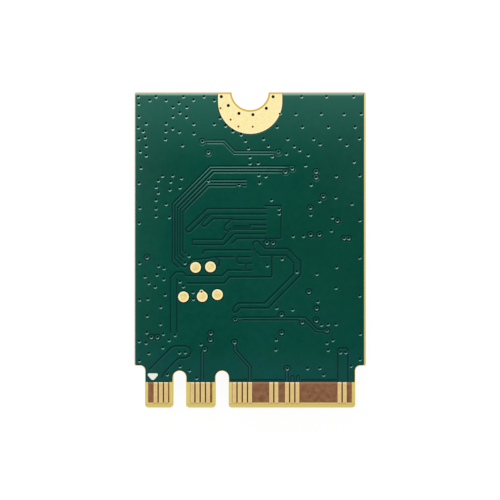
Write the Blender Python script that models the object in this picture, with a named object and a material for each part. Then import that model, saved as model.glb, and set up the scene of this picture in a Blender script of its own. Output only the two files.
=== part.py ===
"""Wireless network card for a laptop: an M.2 type 2230 board with keys A and E.

The card lies on the lid of its shield can, with the contact side up. +X runs to the right
and +Y towards the mounting notch, as one looks down on the contact side. The origin is on
the lid's outer face, under the centre of the board.
"""

import math

import bmesh
import bpy
from mathutils import Matrix, Vector

MM = 0.001

# Board outline
CARD_WIDTH = 22.0 * MM
CARD_LENGTH = 30.0 * MM
CARD_CORNER = 0.15 * MM
TONGUE_WIDTH = 20.0 * MM
TONGUE_LENGTH = 4.0 * MM
TAB_CORNER = 0.3 * MM
SHOULDER_FILLET = 0.5 * MM
KEY_WIDTH = 1.25 * MM
KEY_DEPTH = 3.5 * MM
KEY_A_X = -6.72 * MM
KEY_E_X = -2.67 * MM
NOTCH_RADIUS = 1.76 * MM
NOTCH_LIFT = 0.08 * MM

# Layers of the board
CORE_THICKNESS = 0.73 * MM
COPPER_THICKNESS = 0.035 * MM
MASK_THICKNESS = 0.055 * MM
BOND_GAP = 0.005 * MM
MASK_MARGIN = 0.05 * MM
RIGHT_MASK_MARGIN = 0.15 * MM
MASK_GAP = 0.02 * MM
EDGE_BEVEL_LENGTH = 0.4 * MM
EDGE_BEVEL_DROP = 0.12 * MM

# Edge contacts: pin n lies (n - 38) half pitches from the centre line
CONTACT_PITCH = 0.5 * MM
CONTACT_WIDTH = 0.37 * MM
CONTACT_SETBACK = 0.46 * MM
CONTACT_LENGTH = 1.97 * MM
CENTRE_PIN = 38
BACK_PINS = (2, 4, 6, 16, 18, 20, 22, 32, 34, 36, 38, 46, 48, 52, 54, 56, 72, 74)
FRONT_PINS = (*range(1, 8, 2), *range(17, 24, 2), *range(33, 76, 2))

# Half-moon mounting land, plated through the notch
RING_RADIUS = 3.05 * MM
RING_CENTRE_DROP = 0.9 * MM
PLATING = 0.035 * MM
RING_VIA_DIAMETER = 0.2 * MM
RING_VIAS = (
    (2.77 * MM, 188.5),
    (2.42 * MM, 211.0),
    (2.25 * MM, 242.5),
    (2.12 * MM, 277.0),
    (2.16 * MM, 315.5),
    (2.23 * MM, 349.5),
)

# Test pads on the contact side, from the left edge and the contact edge of the card
TEST_PAD_DIAMETER = 1.1 * MM
TEST_PADS = (
    (5.81 * MM, 13.35 * MM),
    (7.22 * MM, 13.40 * MM),
    (4.66 * MM, 10.55 * MM),
    (6.44 * MM, 10.58 * MM),
    (7.89 * MM, 10.76 * MM),
)

# Shield can on the component side: a soldered frame and a lid that snaps over it
LID_HEIGHT = 1.4 * MM
LID_WIDTH = 20.4 * MM
LID_LENGTH = 18.6 * MM
LID_SHEET = 0.15 * MM
LID_BEND = 0.22 * MM
LID_CORNER = 0.3 * MM
LID_SKIRT = 0.95 * MM
LID_CORNER_SLIT = 0.55 * MM
LID_FIT = 0.03 * MM
LID_CLEARANCE = 0.7 * MM
FRAME_SHEET = 0.2 * MM
FRAME_CORNER = 0.25 * MM
FRAME_FLANGE = 0.9 * MM
FRAME_WINDOW_CORNER = 0.6 * MM
BRIDGE_WIDTH = 1.2 * MM
PICK_PAD_DIAMETER = 4.0 * MM
FOOT_SLOT_LENGTH = 1.4 * MM
FOOT_SLOT_HEIGHT = 0.18 * MM
FOOT_SLOT_SPACING = 3.2 * MM
FOOT_SLOTS_PER_SIDE = 5
SNAP_HOLE_DIAMETER = 0.5 * MM
SNAP_BUMP_RADIUS = 0.25 * MM
SNAP_BUMP_RISE = 0.12 * MM
SNAP_HEIGHT = 0.85 * MM
SNAP_SPACING = 5.6 * MM
SNAPS_PER_SIDE = 3

# Antenna jacks beside the notch
JACK_SIDE_SETBACK = 3.2 * MM
JACK_TOP_SETBACK = 2.2 * MM
JACK_BASE_SIZE = 1.8 * MM
JACK_BASE_CORNER = 0.2 * MM
JACK_BASE_HEIGHT = 0.22 * MM
JACK_BOSS_HEIGHT = 0.3 * MM
JACK_SHELL_RADIUS = 0.75 * MM
JACK_SHELL_WALL = 0.1 * MM
JACK_SHELL_HEIGHT = 0.6 * MM
JACK_LIP = 0.04 * MM
JACK_LIP_HEIGHT = 0.12 * MM
JACK_TAB_WIDTH = 0.8 * MM
JACK_TAB_SHEET = 0.1 * MM
JACK_TAB_REACH = 0.35 * MM
JACK_PIN_RADIUS = 0.14 * MM
JACK_PIN_HEIGHT = 0.5 * MM
JACK_TAIL_WIDTH = 0.3 * MM
JACK_TAIL_SHEET = 0.1 * MM
JACK_FIT = 0.02 * MM

# Parts soldered to the component side, inside the shield
SEAT_GAP = 0.02 * MM
WALL_CLEARANCE = 1.9 * MM
RADIO_CHIP_SIZE = 7.0 * MM
RADIO_CHIP_HEIGHT = 0.62 * MM
RADIO_CHIP_OFFSET = (-0.3 * MM, -1.2 * MM)
MODULE_SIZE = 2.6 * MM
MODULE_HEIGHT = 0.55 * MM
PACKAGE_CHAMFER = 0.06 * MM
MARK_DIAMETER = 0.4 * MM
MARK_DEPTH = 0.05 * MM
MARK_INSET = 0.5 * MM
INDUCTOR_LENGTH = 2.0 * MM
INDUCTOR_WIDTH = 1.6 * MM
INDUCTOR_HEIGHT = 0.85 * MM
INDUCTOR_CORNER = 0.12 * MM
INDUCTOR_PITCH = 2.5 * MM
INDUCTORS = 2
CRYSTAL_LENGTH = 2.0 * MM
CRYSTAL_WIDTH = 1.6 * MM
CRYSTAL_BASE_HEIGHT = 0.25 * MM
CRYSTAL_LID_HEIGHT = 0.2 * MM
CRYSTAL_LID_INSET = 0.1 * MM

# Chip capacitors and resistors: length, width, height and end cap
CAP_PROUD = 0.012 * MM
LARGE_CHIP = (1.0 * MM, 0.5 * MM, 0.5 * MM, 0.22 * MM)
SMALL_CHIP = (0.6 * MM, 0.3 * MM, 0.3 * MM, 0.14 * MM)
FLAT_CHIP = (0.6 * MM, 0.3 * MM, 0.23 * MM, 0.14 * MM)
FILTER_CHIP = (1.6 * MM, 0.8 * MM, 0.6 * MM, 0.25 * MM)
ROW_OFFSET = 0.5 * MM
ROW_PITCH = 1.6 * MM
CHIP_ROWS = (
    (90, ("capacitor_05", "capacitor_06"), LARGE_CHIP, "capacitor"),
    (0, ("capacitor_07", "capacitor_08", "capacitor_09"), LARGE_CHIP, "capacitor"),
    (-90, ("capacitor_10", "capacitor_11", "capacitor_12"), SMALL_CHIP, "capacitor"),
    (180, ("resistor_1", "resistor_2", "resistor_3"), FLAT_CHIP, "resistor"),
)
FILTER_GAP = 0.35 * MM
FEED_OFFSET = 2.4 * MM

# Smoothness of round stretches
ARC_STEPS = 6
ROUND_SEGMENTS = 32
SMALL_SEGMENTS = 16
WELD = 0.0001 * MM
SHARP_ANGLE = math.radians(60)

# Heights and edges that follow from the sizes above
COMPONENT_FACE = LID_HEIGHT
CORE_FRONT = COMPONENT_FACE + MASK_THICKNESS
CORE_BACK = CORE_FRONT + CORE_THICKNESS
CARD_EDGE_Y = -CARD_LENGTH / 2
NOTCH_EDGE_Y = CARD_LENGTH / 2
NOTCH_CENTRE = (0, NOTCH_EDGE_Y + NOTCH_LIFT)
MASK_EDGE_Y = CARD_EDGE_Y + CONTACT_SETBACK + CONTACT_LENGTH + MASK_GAP

# Places on the component side, each taken from its neighbour
JACK_X = CARD_WIDTH / 2 - JACK_SIDE_SETBACK
JACK_Y = NOTCH_EDGE_Y - JACK_TOP_SETBACK
JACK_FOOT_Y = JACK_Y - JACK_BASE_SIZE / 2 - JACK_TAB_REACH
FILTER_Y = JACK_FOOT_Y - FILTER_GAP - FILTER_CHIP[0] / 2
LID_TOP_Y = FILTER_Y - FILTER_CHIP[0] / 2 - LID_CLEARANCE
LID_CENTRE_Y = LID_TOP_Y - LID_LENGTH / 2
RADIO_CHIP_PLACE = (RADIO_CHIP_OFFSET[0], LID_CENTRE_Y + RADIO_CHIP_OFFSET[1])

MATERIALS = {
    "laminate": ((0.62, 0.50, 0.16), 0.55, 0.0),
    "solder_mask": ((0.006, 0.065, 0.045), 0.35, 0.0),
    "gold": ((0.90, 0.70, 0.28), 0.35, 0.8),
    "tinned_steel": ((0.62, 0.62, 0.60), 0.35, 1.0),
    "black_epoxy": ((0.02, 0.02, 0.022), 0.5, 0.0),
    "ferrite": ((0.06, 0.06, 0.065), 0.6, 0.0),
    "capacitor": ((0.36, 0.22, 0.12), 0.45, 0.0),
    "resistor": ((0.03, 0.03, 0.035), 0.4, 0.0),
    "ceramic": ((0.75, 0.74, 0.70), 0.5, 0.0),
    "moulded_plastic": ((0.70, 0.66, 0.55), 0.5, 0.0),
}


def clear_scene():
    for item in list(bpy.data.objects):
        bpy.data.objects.remove(item, do_unlink=True)


def new_collection(name):
    collection = bpy.data.collections.new(name)
    bpy.context.scene.collection.children.link(collection)
    return collection


def make_materials():
    for name, (colour, roughness, metallic) in MATERIALS.items():
        material = bpy.data.materials.new(name)
        material.use_nodes = True
        shader = material.node_tree.nodes["Principled BSDF"]
        shader.inputs["Base Color"].default_value = (*colour, 1.0)
        shader.inputs["Roughness"].default_value = roughness
        shader.inputs["Metallic"].default_value = metallic


def dress(piece, material):
    piece.data.materials.clear()
    piece.data.materials.append(bpy.data.materials[material])
    return piece


def as_object(bm, name, collection):
    """Turn a closed bmesh into an object of its own."""
    bmesh.ops.recalc_face_normals(bm, faces=bm.faces)
    mesh = bpy.data.meshes.new(name)
    bm.to_mesh(mesh)
    bm.free()
    piece = bpy.data.objects.new(name, mesh)
    collection.objects.link(piece)
    return piece


def mesh_of(piece):
    bm = bmesh.new()
    bm.from_mesh(piece.data)
    return bm


def give_mesh(piece, bm):
    bm.to_mesh(piece.data)
    bm.free()


def boolean(piece, tool, operation):
    """Cut a piece with a tool, or join the tool to it. The tool moves with the piece."""
    tool.hide_render = True
    tool.display_type = "WIRE"
    tool.parent = piece
    step = piece.modifiers.new(tool.name, "BOOLEAN")
    step.operation = operation
    step.solver = "EXACT"
    step.object = tool


def arc(centre, radius, start, end, steps):
    """Points on an arc between two angles in degrees."""
    points = []
    for step in range(steps + 1):
        angle = math.radians(start + (end - start) * step / steps)
        points.append((centre[0] + radius * math.cos(angle), centre[1] + radius * math.sin(angle)))
    return points


def circle(centre, radius, steps=ROUND_SEGMENTS):
    return arc(centre, radius, 0, 360, steps)[:-1]


def rounded(corners):
    """Outline through corners (x, y, radius), with an arc at each corner that has a radius."""
    outline = []
    for index, (x, y, radius) in enumerate(corners):
        if radius <= 0:
            outline.append((x, y))
            continue
        corner = Vector((x, y))
        before = (Vector(corners[index - 1][:2]) - corner).normalized()
        after = (Vector(corners[(index + 1) % len(corners)][:2]) - corner).normalized()
        half = before.angle(after) / 2
        centre = corner + (before + after).normalized() * radius / math.sin(half)
        first = corner + before * radius / math.tan(half) - centre
        last = corner + after * radius / math.tan(half) - centre
        start = math.degrees(math.atan2(first.y, first.x))
        sweep = (math.degrees(math.atan2(last.y, last.x)) - start + 180) % 360 - 180
        steps = max(2, round(ARC_STEPS * abs(sweep) / 90))
        outline += arc(centre, radius, start, start + sweep, steps)
    return [
        point
        for index, point in enumerate(outline)
        if (Vector(point) - Vector(outline[index - 1])).length > WELD
    ]


def rectangle(width, length, radius=0):
    x, y = width / 2, length / 2
    return rounded([(-x, -y, radius), (x, -y, radius), (x, y, radius), (-x, y, radius)])


def plate(name, outline, bottom, top, collection):
    """Flat solid between two heights, with one face on each side.

    The flat fill works best on whole units, so the curve is drawn in millimetres and its
    mesh is then brought to size.
    """
    curve = bpy.data.curves.new(name, "CURVE")
    curve.dimensions = "2D"
    curve.fill_mode = "BOTH"
    curve.render_resolution_u = 0
    curve.extrude = (top - bottom) / 2 / MM
    spline = curve.splines.new("POLY")
    spline.points.add(len(outline) - 1)
    spline.use_cyclic_u = True
    for point, (x, y) in zip(spline.points, outline):
        point.co = (x / MM, y / MM, 0, 1)
    guide = bpy.data.objects.new(name + "_outline", curve)
    collection.objects.link(guide)
    depsgraph = bpy.context.evaluated_depsgraph_get()
    mesh = bpy.data.meshes.new_from_object(guide.evaluated_get(depsgraph))
    bpy.data.objects.remove(guide, do_unlink=True)
    bm = bmesh.new()
    bm.from_mesh(mesh)
    bpy.data.meshes.remove(mesh)
    bmesh.ops.remove_doubles(bm, verts=bm.verts, dist=WELD / MM)
    caps = [face for face in bm.faces if abs(face.calc_center_median().z) > curve.extrude / 2]
    bmesh.ops.dissolve_faces(bm, faces=caps)
    bmesh.ops.scale(bm, vec=(MM, MM, MM), verts=bm.verts)
    bmesh.ops.translate(bm, vec=(0, 0, (top + bottom) / 2), verts=bm.verts)
    return as_object(bm, name, collection)


def add_box(bm, low, high):
    centre = [(a + b) / 2 for a, b in zip(low, high)]
    size = [b - a for a, b in zip(low, high)]
    matrix = Matrix.Translation(centre) @ Matrix.Diagonal((*size, 1))
    return bmesh.ops.create_cube(bm, size=1, matrix=matrix)["verts"]


def add_cylinder(bm, radius, bottom, top, centre=(0, 0), segments=ROUND_SEGMENTS):
    place = Matrix.Translation((centre[0], centre[1], (bottom + top) / 2))
    bmesh.ops.create_cone(
        bm,
        cap_ends=True,
        segments=segments,
        radius1=radius,
        radius2=radius,
        depth=top - bottom,
        matrix=place,
    )


def box(name, low, high, collection):
    bm = bmesh.new()
    add_box(bm, low, high)
    return as_object(bm, name, collection)


def cylinder(name, radius, bottom, top, collection, segments=ROUND_SEGMENTS):
    bm = bmesh.new()
    add_cylinder(bm, radius, bottom, top, segments=segments)
    return as_object(bm, name, collection)


def turned(name, profile, collection, segments=ROUND_SEGMENTS):
    """Solid turned about Z from a loop of points (radius, height)."""
    bm = bmesh.new()
    verts = [bm.verts.new((radius, 0, height)) for radius, height in profile]
    edges = [bm.edges.new((a, b)) for a, b in zip(verts, verts[1:])]
    if min(radius for radius, _ in profile) > 0:
        edges.append(bm.edges.new((verts[-1], verts[0])))
    bmesh.ops.spin(
        bm,
        geom=verts + edges,
        axis=(0, 0, 1),
        cent=(0, 0, 0),
        angle=math.tau,
        steps=segments,
        use_merge=True,
    )
    bmesh.ops.remove_doubles(bm, verts=bm.verts, dist=WELD)
    return as_object(bm, name, collection)


def round_off_top(piece, height, offset, segments):
    """Round or chamfer the rim of the flat top of a piece."""
    bm = mesh_of(piece)
    rim = [
        edge
        for edge in bm.edges
        if min(vert.co.z for vert in edge.verts) > height - WELD and edge.calc_face_angle() > SHARP_ANGLE
    ]
    bmesh.ops.bevel(
        bm,
        geom=rim,
        offset=offset,
        segments=segments,
        profile=0.5,
        affect="EDGES",
        material=-1,
    )
    give_mesh(piece, bm)
    return piece


def seat(piece, place, turn=0):
    """Turn a part upside down onto the component side, which faces the floor."""
    piece.location = (*place, COMPONENT_FACE)
    piece.rotation_euler = (math.pi, 0, math.radians(turn))
    return piece


def pin_x(pin):
    return (pin - CENTRE_PIN) * CONTACT_PITCH / 2


def notch_arc(radius):
    """Wall of the mounting notch below the card's top edge, from right to left."""
    start = -math.degrees(math.asin(NOTCH_LIFT / radius))
    return [(x, y, 0) for x, y in arc(NOTCH_CENTRE, radius, start, -180 - start, 4 * ARC_STEPS)]


def test_pad_places():
    return [(x - CARD_WIDTH / 2, CARD_EDGE_Y + y) for x, y in TEST_PADS]


def ring_edge(growth, top):
    """Rim of the half-moon land, from right to left: straight sides and a round foot."""
    centre = (0, NOTCH_EDGE_Y - RING_CENTRE_DROP)
    radius = RING_RADIUS + growth
    points = [(x, y, 0) for x, y in arc(centre, radius, 0, -180, 5 * ARC_STEPS)]
    return [(radius, top, 0), *points, (-radius, top, 0)]


def card_outline(inset, right_inset, bottom, bottom_radius, notch):
    """Outline of the board, or of a layer that keeps an inset from the board's edges."""
    half_tongue = TONGUE_WIDTH / 2 - inset
    half_key = KEY_WIDTH / 2 + inset
    key_top = CARD_EDGE_Y + KEY_DEPTH + inset
    shoulder = CARD_EDGE_Y + TONGUE_LENGTH + inset
    left = -CARD_WIDTH / 2 + inset
    right = CARD_WIDTH / 2 - right_inset
    top = NOTCH_EDGE_Y - inset
    corners = [(-half_tongue, bottom, bottom_radius)]
    for key_x in (KEY_A_X, KEY_E_X):
        corners += [
            (key_x - half_key, bottom, bottom_radius),
            (key_x - half_key, key_top, half_key),
            (key_x + half_key, key_top, half_key),
            (key_x + half_key, bottom, bottom_radius),
        ]
    corners += [
        (half_tongue, bottom, bottom_radius),
        (half_tongue, shoulder, SHOULDER_FILLET),
        (right, shoulder, CARD_CORNER),
        (right, top, CARD_CORNER),
        *notch,
        (left, top, CARD_CORNER),
        (left, shoulder, CARD_CORNER),
        (-half_tongue, shoulder, SHOULDER_FILLET),
    ]
    return rounded(corners)


def make_via_drills(cutters):
    """Drills for the vias that stitch the two half-moon lands together."""
    bm = bmesh.new()
    top = CORE_BACK + MASK_THICKNESS
    for radius, angle in RING_VIAS:
        x = radius * math.cos(math.radians(angle))
        y = NOTCH_EDGE_Y + radius * math.sin(math.radians(angle))
        add_cylinder(bm, RING_VIA_DIAMETER / 2, COMPONENT_FACE, top, (x, y), SMALL_SEGMENTS)
    return as_object(bm, "ring_via_drills", cutters)


def bevel_card_edge(board):
    """Thin the card edge on both faces, so that it slides into its socket."""
    bm = mesh_of(board)
    line = CARD_EDGE_Y + EDGE_BEVEL_LENGTH
    everything = [*bm.verts, *bm.edges, *bm.faces]
    bmesh.ops.bisect_plane(bm, geom=everything, dist=WELD, plane_co=(0, line, 0), plane_no=(0, 1, 0))
    middle = (CORE_FRONT + CORE_BACK) / 2
    for vert in bm.verts:
        drop = max(0, line - vert.co.y) * EDGE_BEVEL_DROP / EDGE_BEVEL_LENGTH
        vert.co.z += drop if vert.co.z < middle else -drop
    give_mesh(board, bm)


def make_front_contacts(cutters):
    bm = bmesh.new()
    low_y = CARD_EDGE_Y + CONTACT_SETBACK
    for pin in FRONT_PINS:
        x = pin_x(pin)
        low = (x - CONTACT_WIDTH / 2, low_y, CORE_FRONT - COPPER_THICKNESS)
        high = (x + CONTACT_WIDTH / 2, low_y + CONTACT_LENGTH, CORE_FRONT + COPPER_THICKNESS)
        add_box(bm, low, high)
    return as_object(bm, "front_contacts", cutters)


def make_circuit_board(card, cutters, drills):
    """Laminate with its keyed tongue, and the front contacts, which are one with it."""
    notch = notch_arc(NOTCH_RADIUS + PLATING + BOND_GAP)
    outline = card_outline(0, 0, CARD_EDGE_Y, TAB_CORNER, notch)
    board = plate("circuit_board", outline, CORE_FRONT, CORE_BACK, card)
    bevel_card_edge(board)
    boolean(board, make_front_contacts(cutters), "UNION")
    boolean(board, drills, "DIFFERENCE")
    dress(board, "laminate")


def make_solder_masks(card, cutters):
    """The green coat of each face, open at the contacts, the lands and the pads."""
    rim = ring_edge(MASK_GAP, NOTCH_EDGE_Y - MASK_MARGIN)
    outline = card_outline(MASK_MARGIN, RIGHT_MASK_MARGIN, MASK_EDGE_Y, 0, rim)
    back_face = CORE_BACK + MASK_THICKNESS
    back = plate("back_solder_mask", outline, CORE_BACK + BOND_GAP, back_face, card)
    bm = bmesh.new()
    for place in test_pad_places():
        radius = TEST_PAD_DIAMETER / 2 + MASK_GAP
        add_cylinder(bm, radius, CORE_FRONT, back_face + CORE_THICKNESS, place)
    boolean(back, as_object(bm, "test_pad_openings", cutters), "DIFFERENCE")
    dress(back, "solder_mask")
    outline = card_outline(MASK_MARGIN, MASK_MARGIN, MASK_EDGE_Y, 0, rim)
    front = plate("front_solder_mask", outline, COMPONENT_FACE, CORE_FRONT - BOND_GAP, card)
    dress(front, "solder_mask")


def make_mounting_ring(card, cutters, drills):
    """Half-moon lands on both faces, joined by the plated wall of the notch."""
    outline = rounded([*ring_edge(0, NOTCH_EDGE_Y), *reversed(notch_arc(NOTCH_RADIUS))])
    bottom = CORE_FRONT - COPPER_THICKNESS
    top = CORE_BACK + COPPER_THICKNESS
    ring = plate("mounting_ring", outline, bottom, top, card)

    reach = 2 * RING_RADIUS
    low = (-reach, NOTCH_EDGE_Y - reach, CORE_FRONT - BOND_GAP)
    core = box("ring_core_slot", low, (reach, NOTCH_EDGE_Y + reach, CORE_BACK + BOND_GAP), cutters)
    outline = circle(NOTCH_CENTRE, NOTCH_RADIUS + PLATING, 8 * ARC_STEPS)
    wall = plate("ring_wall", outline, COMPONENT_FACE, CORE_BACK + MASK_THICKNESS, cutters)
    boolean(core, wall, "DIFFERENCE")
    boolean(ring, core, "DIFFERENCE")
    boolean(ring, drills, "DIFFERENCE")
    dress(ring, "gold")


def make_back_contacts(card):
    bottom = CORE_BACK + BOND_GAP
    top = CORE_BACK + COPPER_THICKNESS
    y = CARD_EDGE_Y + CONTACT_SETBACK + CONTACT_LENGTH / 2
    low = (-CONTACT_WIDTH / 2, -CONTACT_LENGTH / 2, bottom)
    high = (CONTACT_WIDTH / 2, CONTACT_LENGTH / 2, top)
    for pin in BACK_PINS:
        contact = dress(box(f"back_contact_{pin:02d}", low, high, card), "gold")
        contact.location = (pin_x(pin), y, 0)


def make_test_pads(card):
    bottom = CORE_BACK + BOND_GAP
    top = CORE_BACK + COPPER_THICKNESS
    for number, place in enumerate(test_pad_places(), 1):
        pad = cylinder(f"test_pad_{number}", TEST_PAD_DIAMETER / 2, bottom, top, card)
        dress(pad, "gold").location = (*place, 0)


def along_walls(width, length, spacing, count):
    """Evenly spaced places on the four walls of a rectangle, each turned to face outwards."""
    for index in range(count):
        along = (index - (count - 1) / 2) * spacing
        for x, y, angle in (
            (width / 2, along, 0),
            (along, length / 2, 90),
            (-width / 2, along, 180),
            (along, -length / 2, -90),
        ):
            yield Matrix.Translation((x, y, 0)) @ Matrix.Rotation(math.radians(angle), 4, "Z")


def frame_size():
    """Outer width and length of the frame, which the lid slips over."""
    fit = 2 * (LID_SHEET + LID_FIT)
    return LID_WIDTH - fit, LID_LENGTH - fit


def make_foot_slots(cutters):
    bm = bmesh.new()
    low = (-2 * FRAME_SHEET, -FOOT_SLOT_LENGTH / 2, -SEAT_GAP)
    high = (FRAME_SHEET, FOOT_SLOT_LENGTH / 2, FOOT_SLOT_HEIGHT)
    for place in along_walls(*frame_size(), FOOT_SLOT_SPACING, FOOT_SLOTS_PER_SIDE):
        bmesh.ops.transform(bm, matrix=place, verts=add_box(bm, low, high))
    return as_object(bm, "foot_slots", cutters)


def make_snap_bumps(cutters):
    """Domes pressed outwards, each rooted in the middle of the frame's wall."""
    centre = SNAP_BUMP_RISE - SNAP_BUMP_RADIUS
    start = math.degrees(math.asin(-centre / SNAP_BUMP_RADIUS))
    dome = arc((0, centre), SNAP_BUMP_RADIUS, start, 90, ARC_STEPS // 2)[:-1]
    root = -FRAME_SHEET / 2
    profile = [(0, root), (dome[0][0], root), *dome, (0, SNAP_BUMP_RISE)]
    bumps = turned("snap_bumps", profile, cutters, SMALL_SEGMENTS)
    bm = bmesh.new()
    outwards = Matrix.Translation((0, 0, SNAP_HEIGHT)) @ Matrix.Rotation(math.pi / 2, 4, "Y")
    for place in along_walls(*frame_size(), SNAP_SPACING, SNAPS_PER_SIDE):
        bumps.data.transform(place @ outwards)
        bm.from_mesh(bumps.data)
        bumps.data.transform((place @ outwards).inverted())
    give_mesh(bumps, bm)
    return bumps


def make_snap_holes(cutters):
    bm = bmesh.new()
    height = Matrix.Translation((0, 0, SNAP_HEIGHT))
    for place in along_walls(LID_WIDTH, LID_LENGTH, SNAP_SPACING, SNAPS_PER_SIDE):
        bmesh.ops.create_cone(
            bm,
            cap_ends=True,
            segments=SMALL_SEGMENTS,
            radius1=SNAP_HOLE_DIAMETER / 2,
            radius2=SNAP_HOLE_DIAMETER / 2,
            depth=3 * LID_SHEET,
            matrix=place @ height @ Matrix.Rotation(math.pi / 2, 4, "Y"),
        )
    return as_object(bm, "snap_holes", cutters)


def make_corner_slits(cutters):
    bm = bmesh.new()
    low_z = LID_HEIGHT - 2 * LID_SKIRT
    high_z = LID_HEIGHT - LID_BEND
    for side_x in (-1, 1):
        for side_y in (-1, 1):
            x = side_x * LID_WIDTH / 2
            y = side_y * LID_LENGTH / 2
            low = (x - LID_CORNER_SLIT, y - LID_CORNER_SLIT, low_z)
            high = (x + LID_CORNER_SLIT, y + LID_CORNER_SLIT, high_z)
            add_box(bm, low, high)
    return as_object(bm, "corner_slits", cutters)


def make_shield_frame(card, cutters):
    """Stamped frame: walls on feet, a flange with two windows, a pick-up bridge and snaps."""
    width, length = frame_size()
    top = LID_HEIGHT - LID_SHEET - LID_FIT
    frame = plate("shield_frame", rectangle(width, length, FRAME_CORNER), SEAT_GAP, top, card)

    inside = rectangle(width - 2 * FRAME_SHEET, length - 2 * FRAME_SHEET, FRAME_CORNER / 2)
    cavity = plate("frame_cavity", inside, -SEAT_GAP, top - FRAME_SHEET, cutters)
    boolean(frame, cavity, "DIFFERENCE")

    opening = rectangle(width - 2 * FRAME_FLANGE, length - 2 * FRAME_FLANGE, FRAME_WINDOW_CORNER)
    low, high = top - 2 * FRAME_SHEET, top + FRAME_SHEET
    windows = plate("frame_windows", opening, low, high, cutters)
    low, high = low - FRAME_SHEET, high + FRAME_SHEET
    bridge = plate("frame_bridge", rectangle(BRIDGE_WIDTH, length), low, high, cutters)
    pick_pad = cylinder("frame_pick_pad", PICK_PAD_DIAMETER / 2, low, high, cutters)
    boolean(windows, bridge, "DIFFERENCE")
    boolean(windows, pick_pad, "DIFFERENCE")
    boolean(frame, windows, "DIFFERENCE")

    boolean(frame, make_foot_slots(cutters), "DIFFERENCE")
    boolean(frame, make_snap_bumps(cutters), "UNION")
    seat(dress(frame, "tinned_steel"), (0, LID_CENTRE_Y))


def make_shield_lid(card, cutters):
    """Folded lid: a flat top, skirts that part at the corners, and holes over the snaps."""
    outline = rectangle(LID_WIDTH, LID_LENGTH, LID_CORNER)
    lid = plate("shield_lid", outline, LID_HEIGHT - LID_SKIRT, LID_HEIGHT, card)
    round_off_top(lid, LID_HEIGHT, LID_BEND, 3)

    fit = 2 * LID_SHEET
    inside = rectangle(LID_WIDTH - fit, LID_LENGTH - fit, LID_CORNER - LID_SHEET)
    cavity = plate("lid_cavity", inside, LID_HEIGHT - 2 * LID_SKIRT, LID_HEIGHT - LID_SHEET, cutters)
    round_off_top(cavity, LID_HEIGHT - LID_SHEET, LID_BEND - LID_SHEET, 2)
    boolean(lid, cavity, "DIFFERENCE")
    boolean(lid, make_corner_slits(cutters), "DIFFERENCE")
    boolean(lid, make_snap_holes(cutters), "DIFFERENCE")
    seat(dress(lid, "tinned_steel"), (0, LID_CENTRE_Y))


def make_jack_base(name, card, cutters):
    """Moulded base with a boss inside the shell, a bore for the pin and a slot for its tail."""
    base = plate(
        name + "_base",
        rectangle(JACK_BASE_SIZE, JACK_BASE_SIZE, JACK_BASE_CORNER),
        SEAT_GAP,
        JACK_BASE_HEIGHT,
        card,
    )
    boss_radius = JACK_SHELL_RADIUS - JACK_SHELL_WALL - JACK_FIT
    boss = cylinder(name + "_boss", boss_radius, JACK_TAIL_SHEET, JACK_BOSS_HEIGHT, cutters)
    bore = cylinder(name + "_bore", JACK_PIN_RADIUS + JACK_FIT, 0, 2 * JACK_BOSS_HEIGHT, cutters)
    half = JACK_TAIL_WIDTH / 2 + JACK_FIT
    height = SEAT_GAP + JACK_TAIL_SHEET + JACK_FIT
    slot = box(name + "_tail_slot", (-half, -half, 0), (half, JACK_BASE_SIZE, height), cutters)
    boolean(base, boss, "UNION")
    boolean(base, bore, "DIFFERENCE")
    boolean(base, slot, "DIFFERENCE")
    return dress(base, "moulded_plastic")


def make_jack_tab(name, side, cutters):
    """Sheet tab that steps down from the shell to the board on one side of the base."""
    start = JACK_SHELL_RADIUS - JACK_SHELL_WALL / 2
    leg = JACK_BASE_SIZE / 2 + JACK_FIT
    foot = JACK_BASE_SIZE / 2 + JACK_TAB_REACH
    under = JACK_BASE_HEIGHT + JACK_FIT
    profile = [
        (start, under),
        (leg, under),
        (leg, SEAT_GAP),
        (foot, SEAT_GAP),
        (foot, SEAT_GAP + JACK_TAB_SHEET),
        (leg + JACK_TAB_SHEET, SEAT_GAP + JACK_TAB_SHEET),
        (leg + JACK_TAB_SHEET, under + JACK_TAB_SHEET),
        (start, under + JACK_TAB_SHEET),
    ]
    half = JACK_TAB_WIDTH / 2
    tab = plate(name, [(side * x, z) for x, z in profile], -half, half, cutters)
    tab.data.transform(Matrix.Rotation(math.pi / 2, 4, "X"))
    return tab


def make_jack_shell(name, card, cutters):
    """Ground shell with a snap lip and two tabs."""
    inner = JACK_SHELL_RADIUS - JACK_SHELL_WALL
    bottom = JACK_BASE_HEIGHT + JACK_FIT
    lip = JACK_SHELL_RADIUS + JACK_LIP
    profile = [
        (inner, bottom),
        (JACK_SHELL_RADIUS, bottom),
        (JACK_SHELL_RADIUS, JACK_SHELL_HEIGHT - JACK_LIP_HEIGHT),
        (lip, JACK_SHELL_HEIGHT - JACK_LIP_HEIGHT / 2),
        (lip, JACK_SHELL_HEIGHT - JACK_LIP),
        (JACK_SHELL_RADIUS, JACK_SHELL_HEIGHT),
        (inner + JACK_LIP / 2, JACK_SHELL_HEIGHT),
        (inner, JACK_SHELL_HEIGHT - JACK_LIP / 2),
    ]
    shell = turned(name + "_shell", profile, card)
    for side in (-1, 1):
        boolean(shell, make_jack_tab(f"{name}_tab_{side}", side, cutters), "UNION")
    return dress(shell, "gold")


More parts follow.
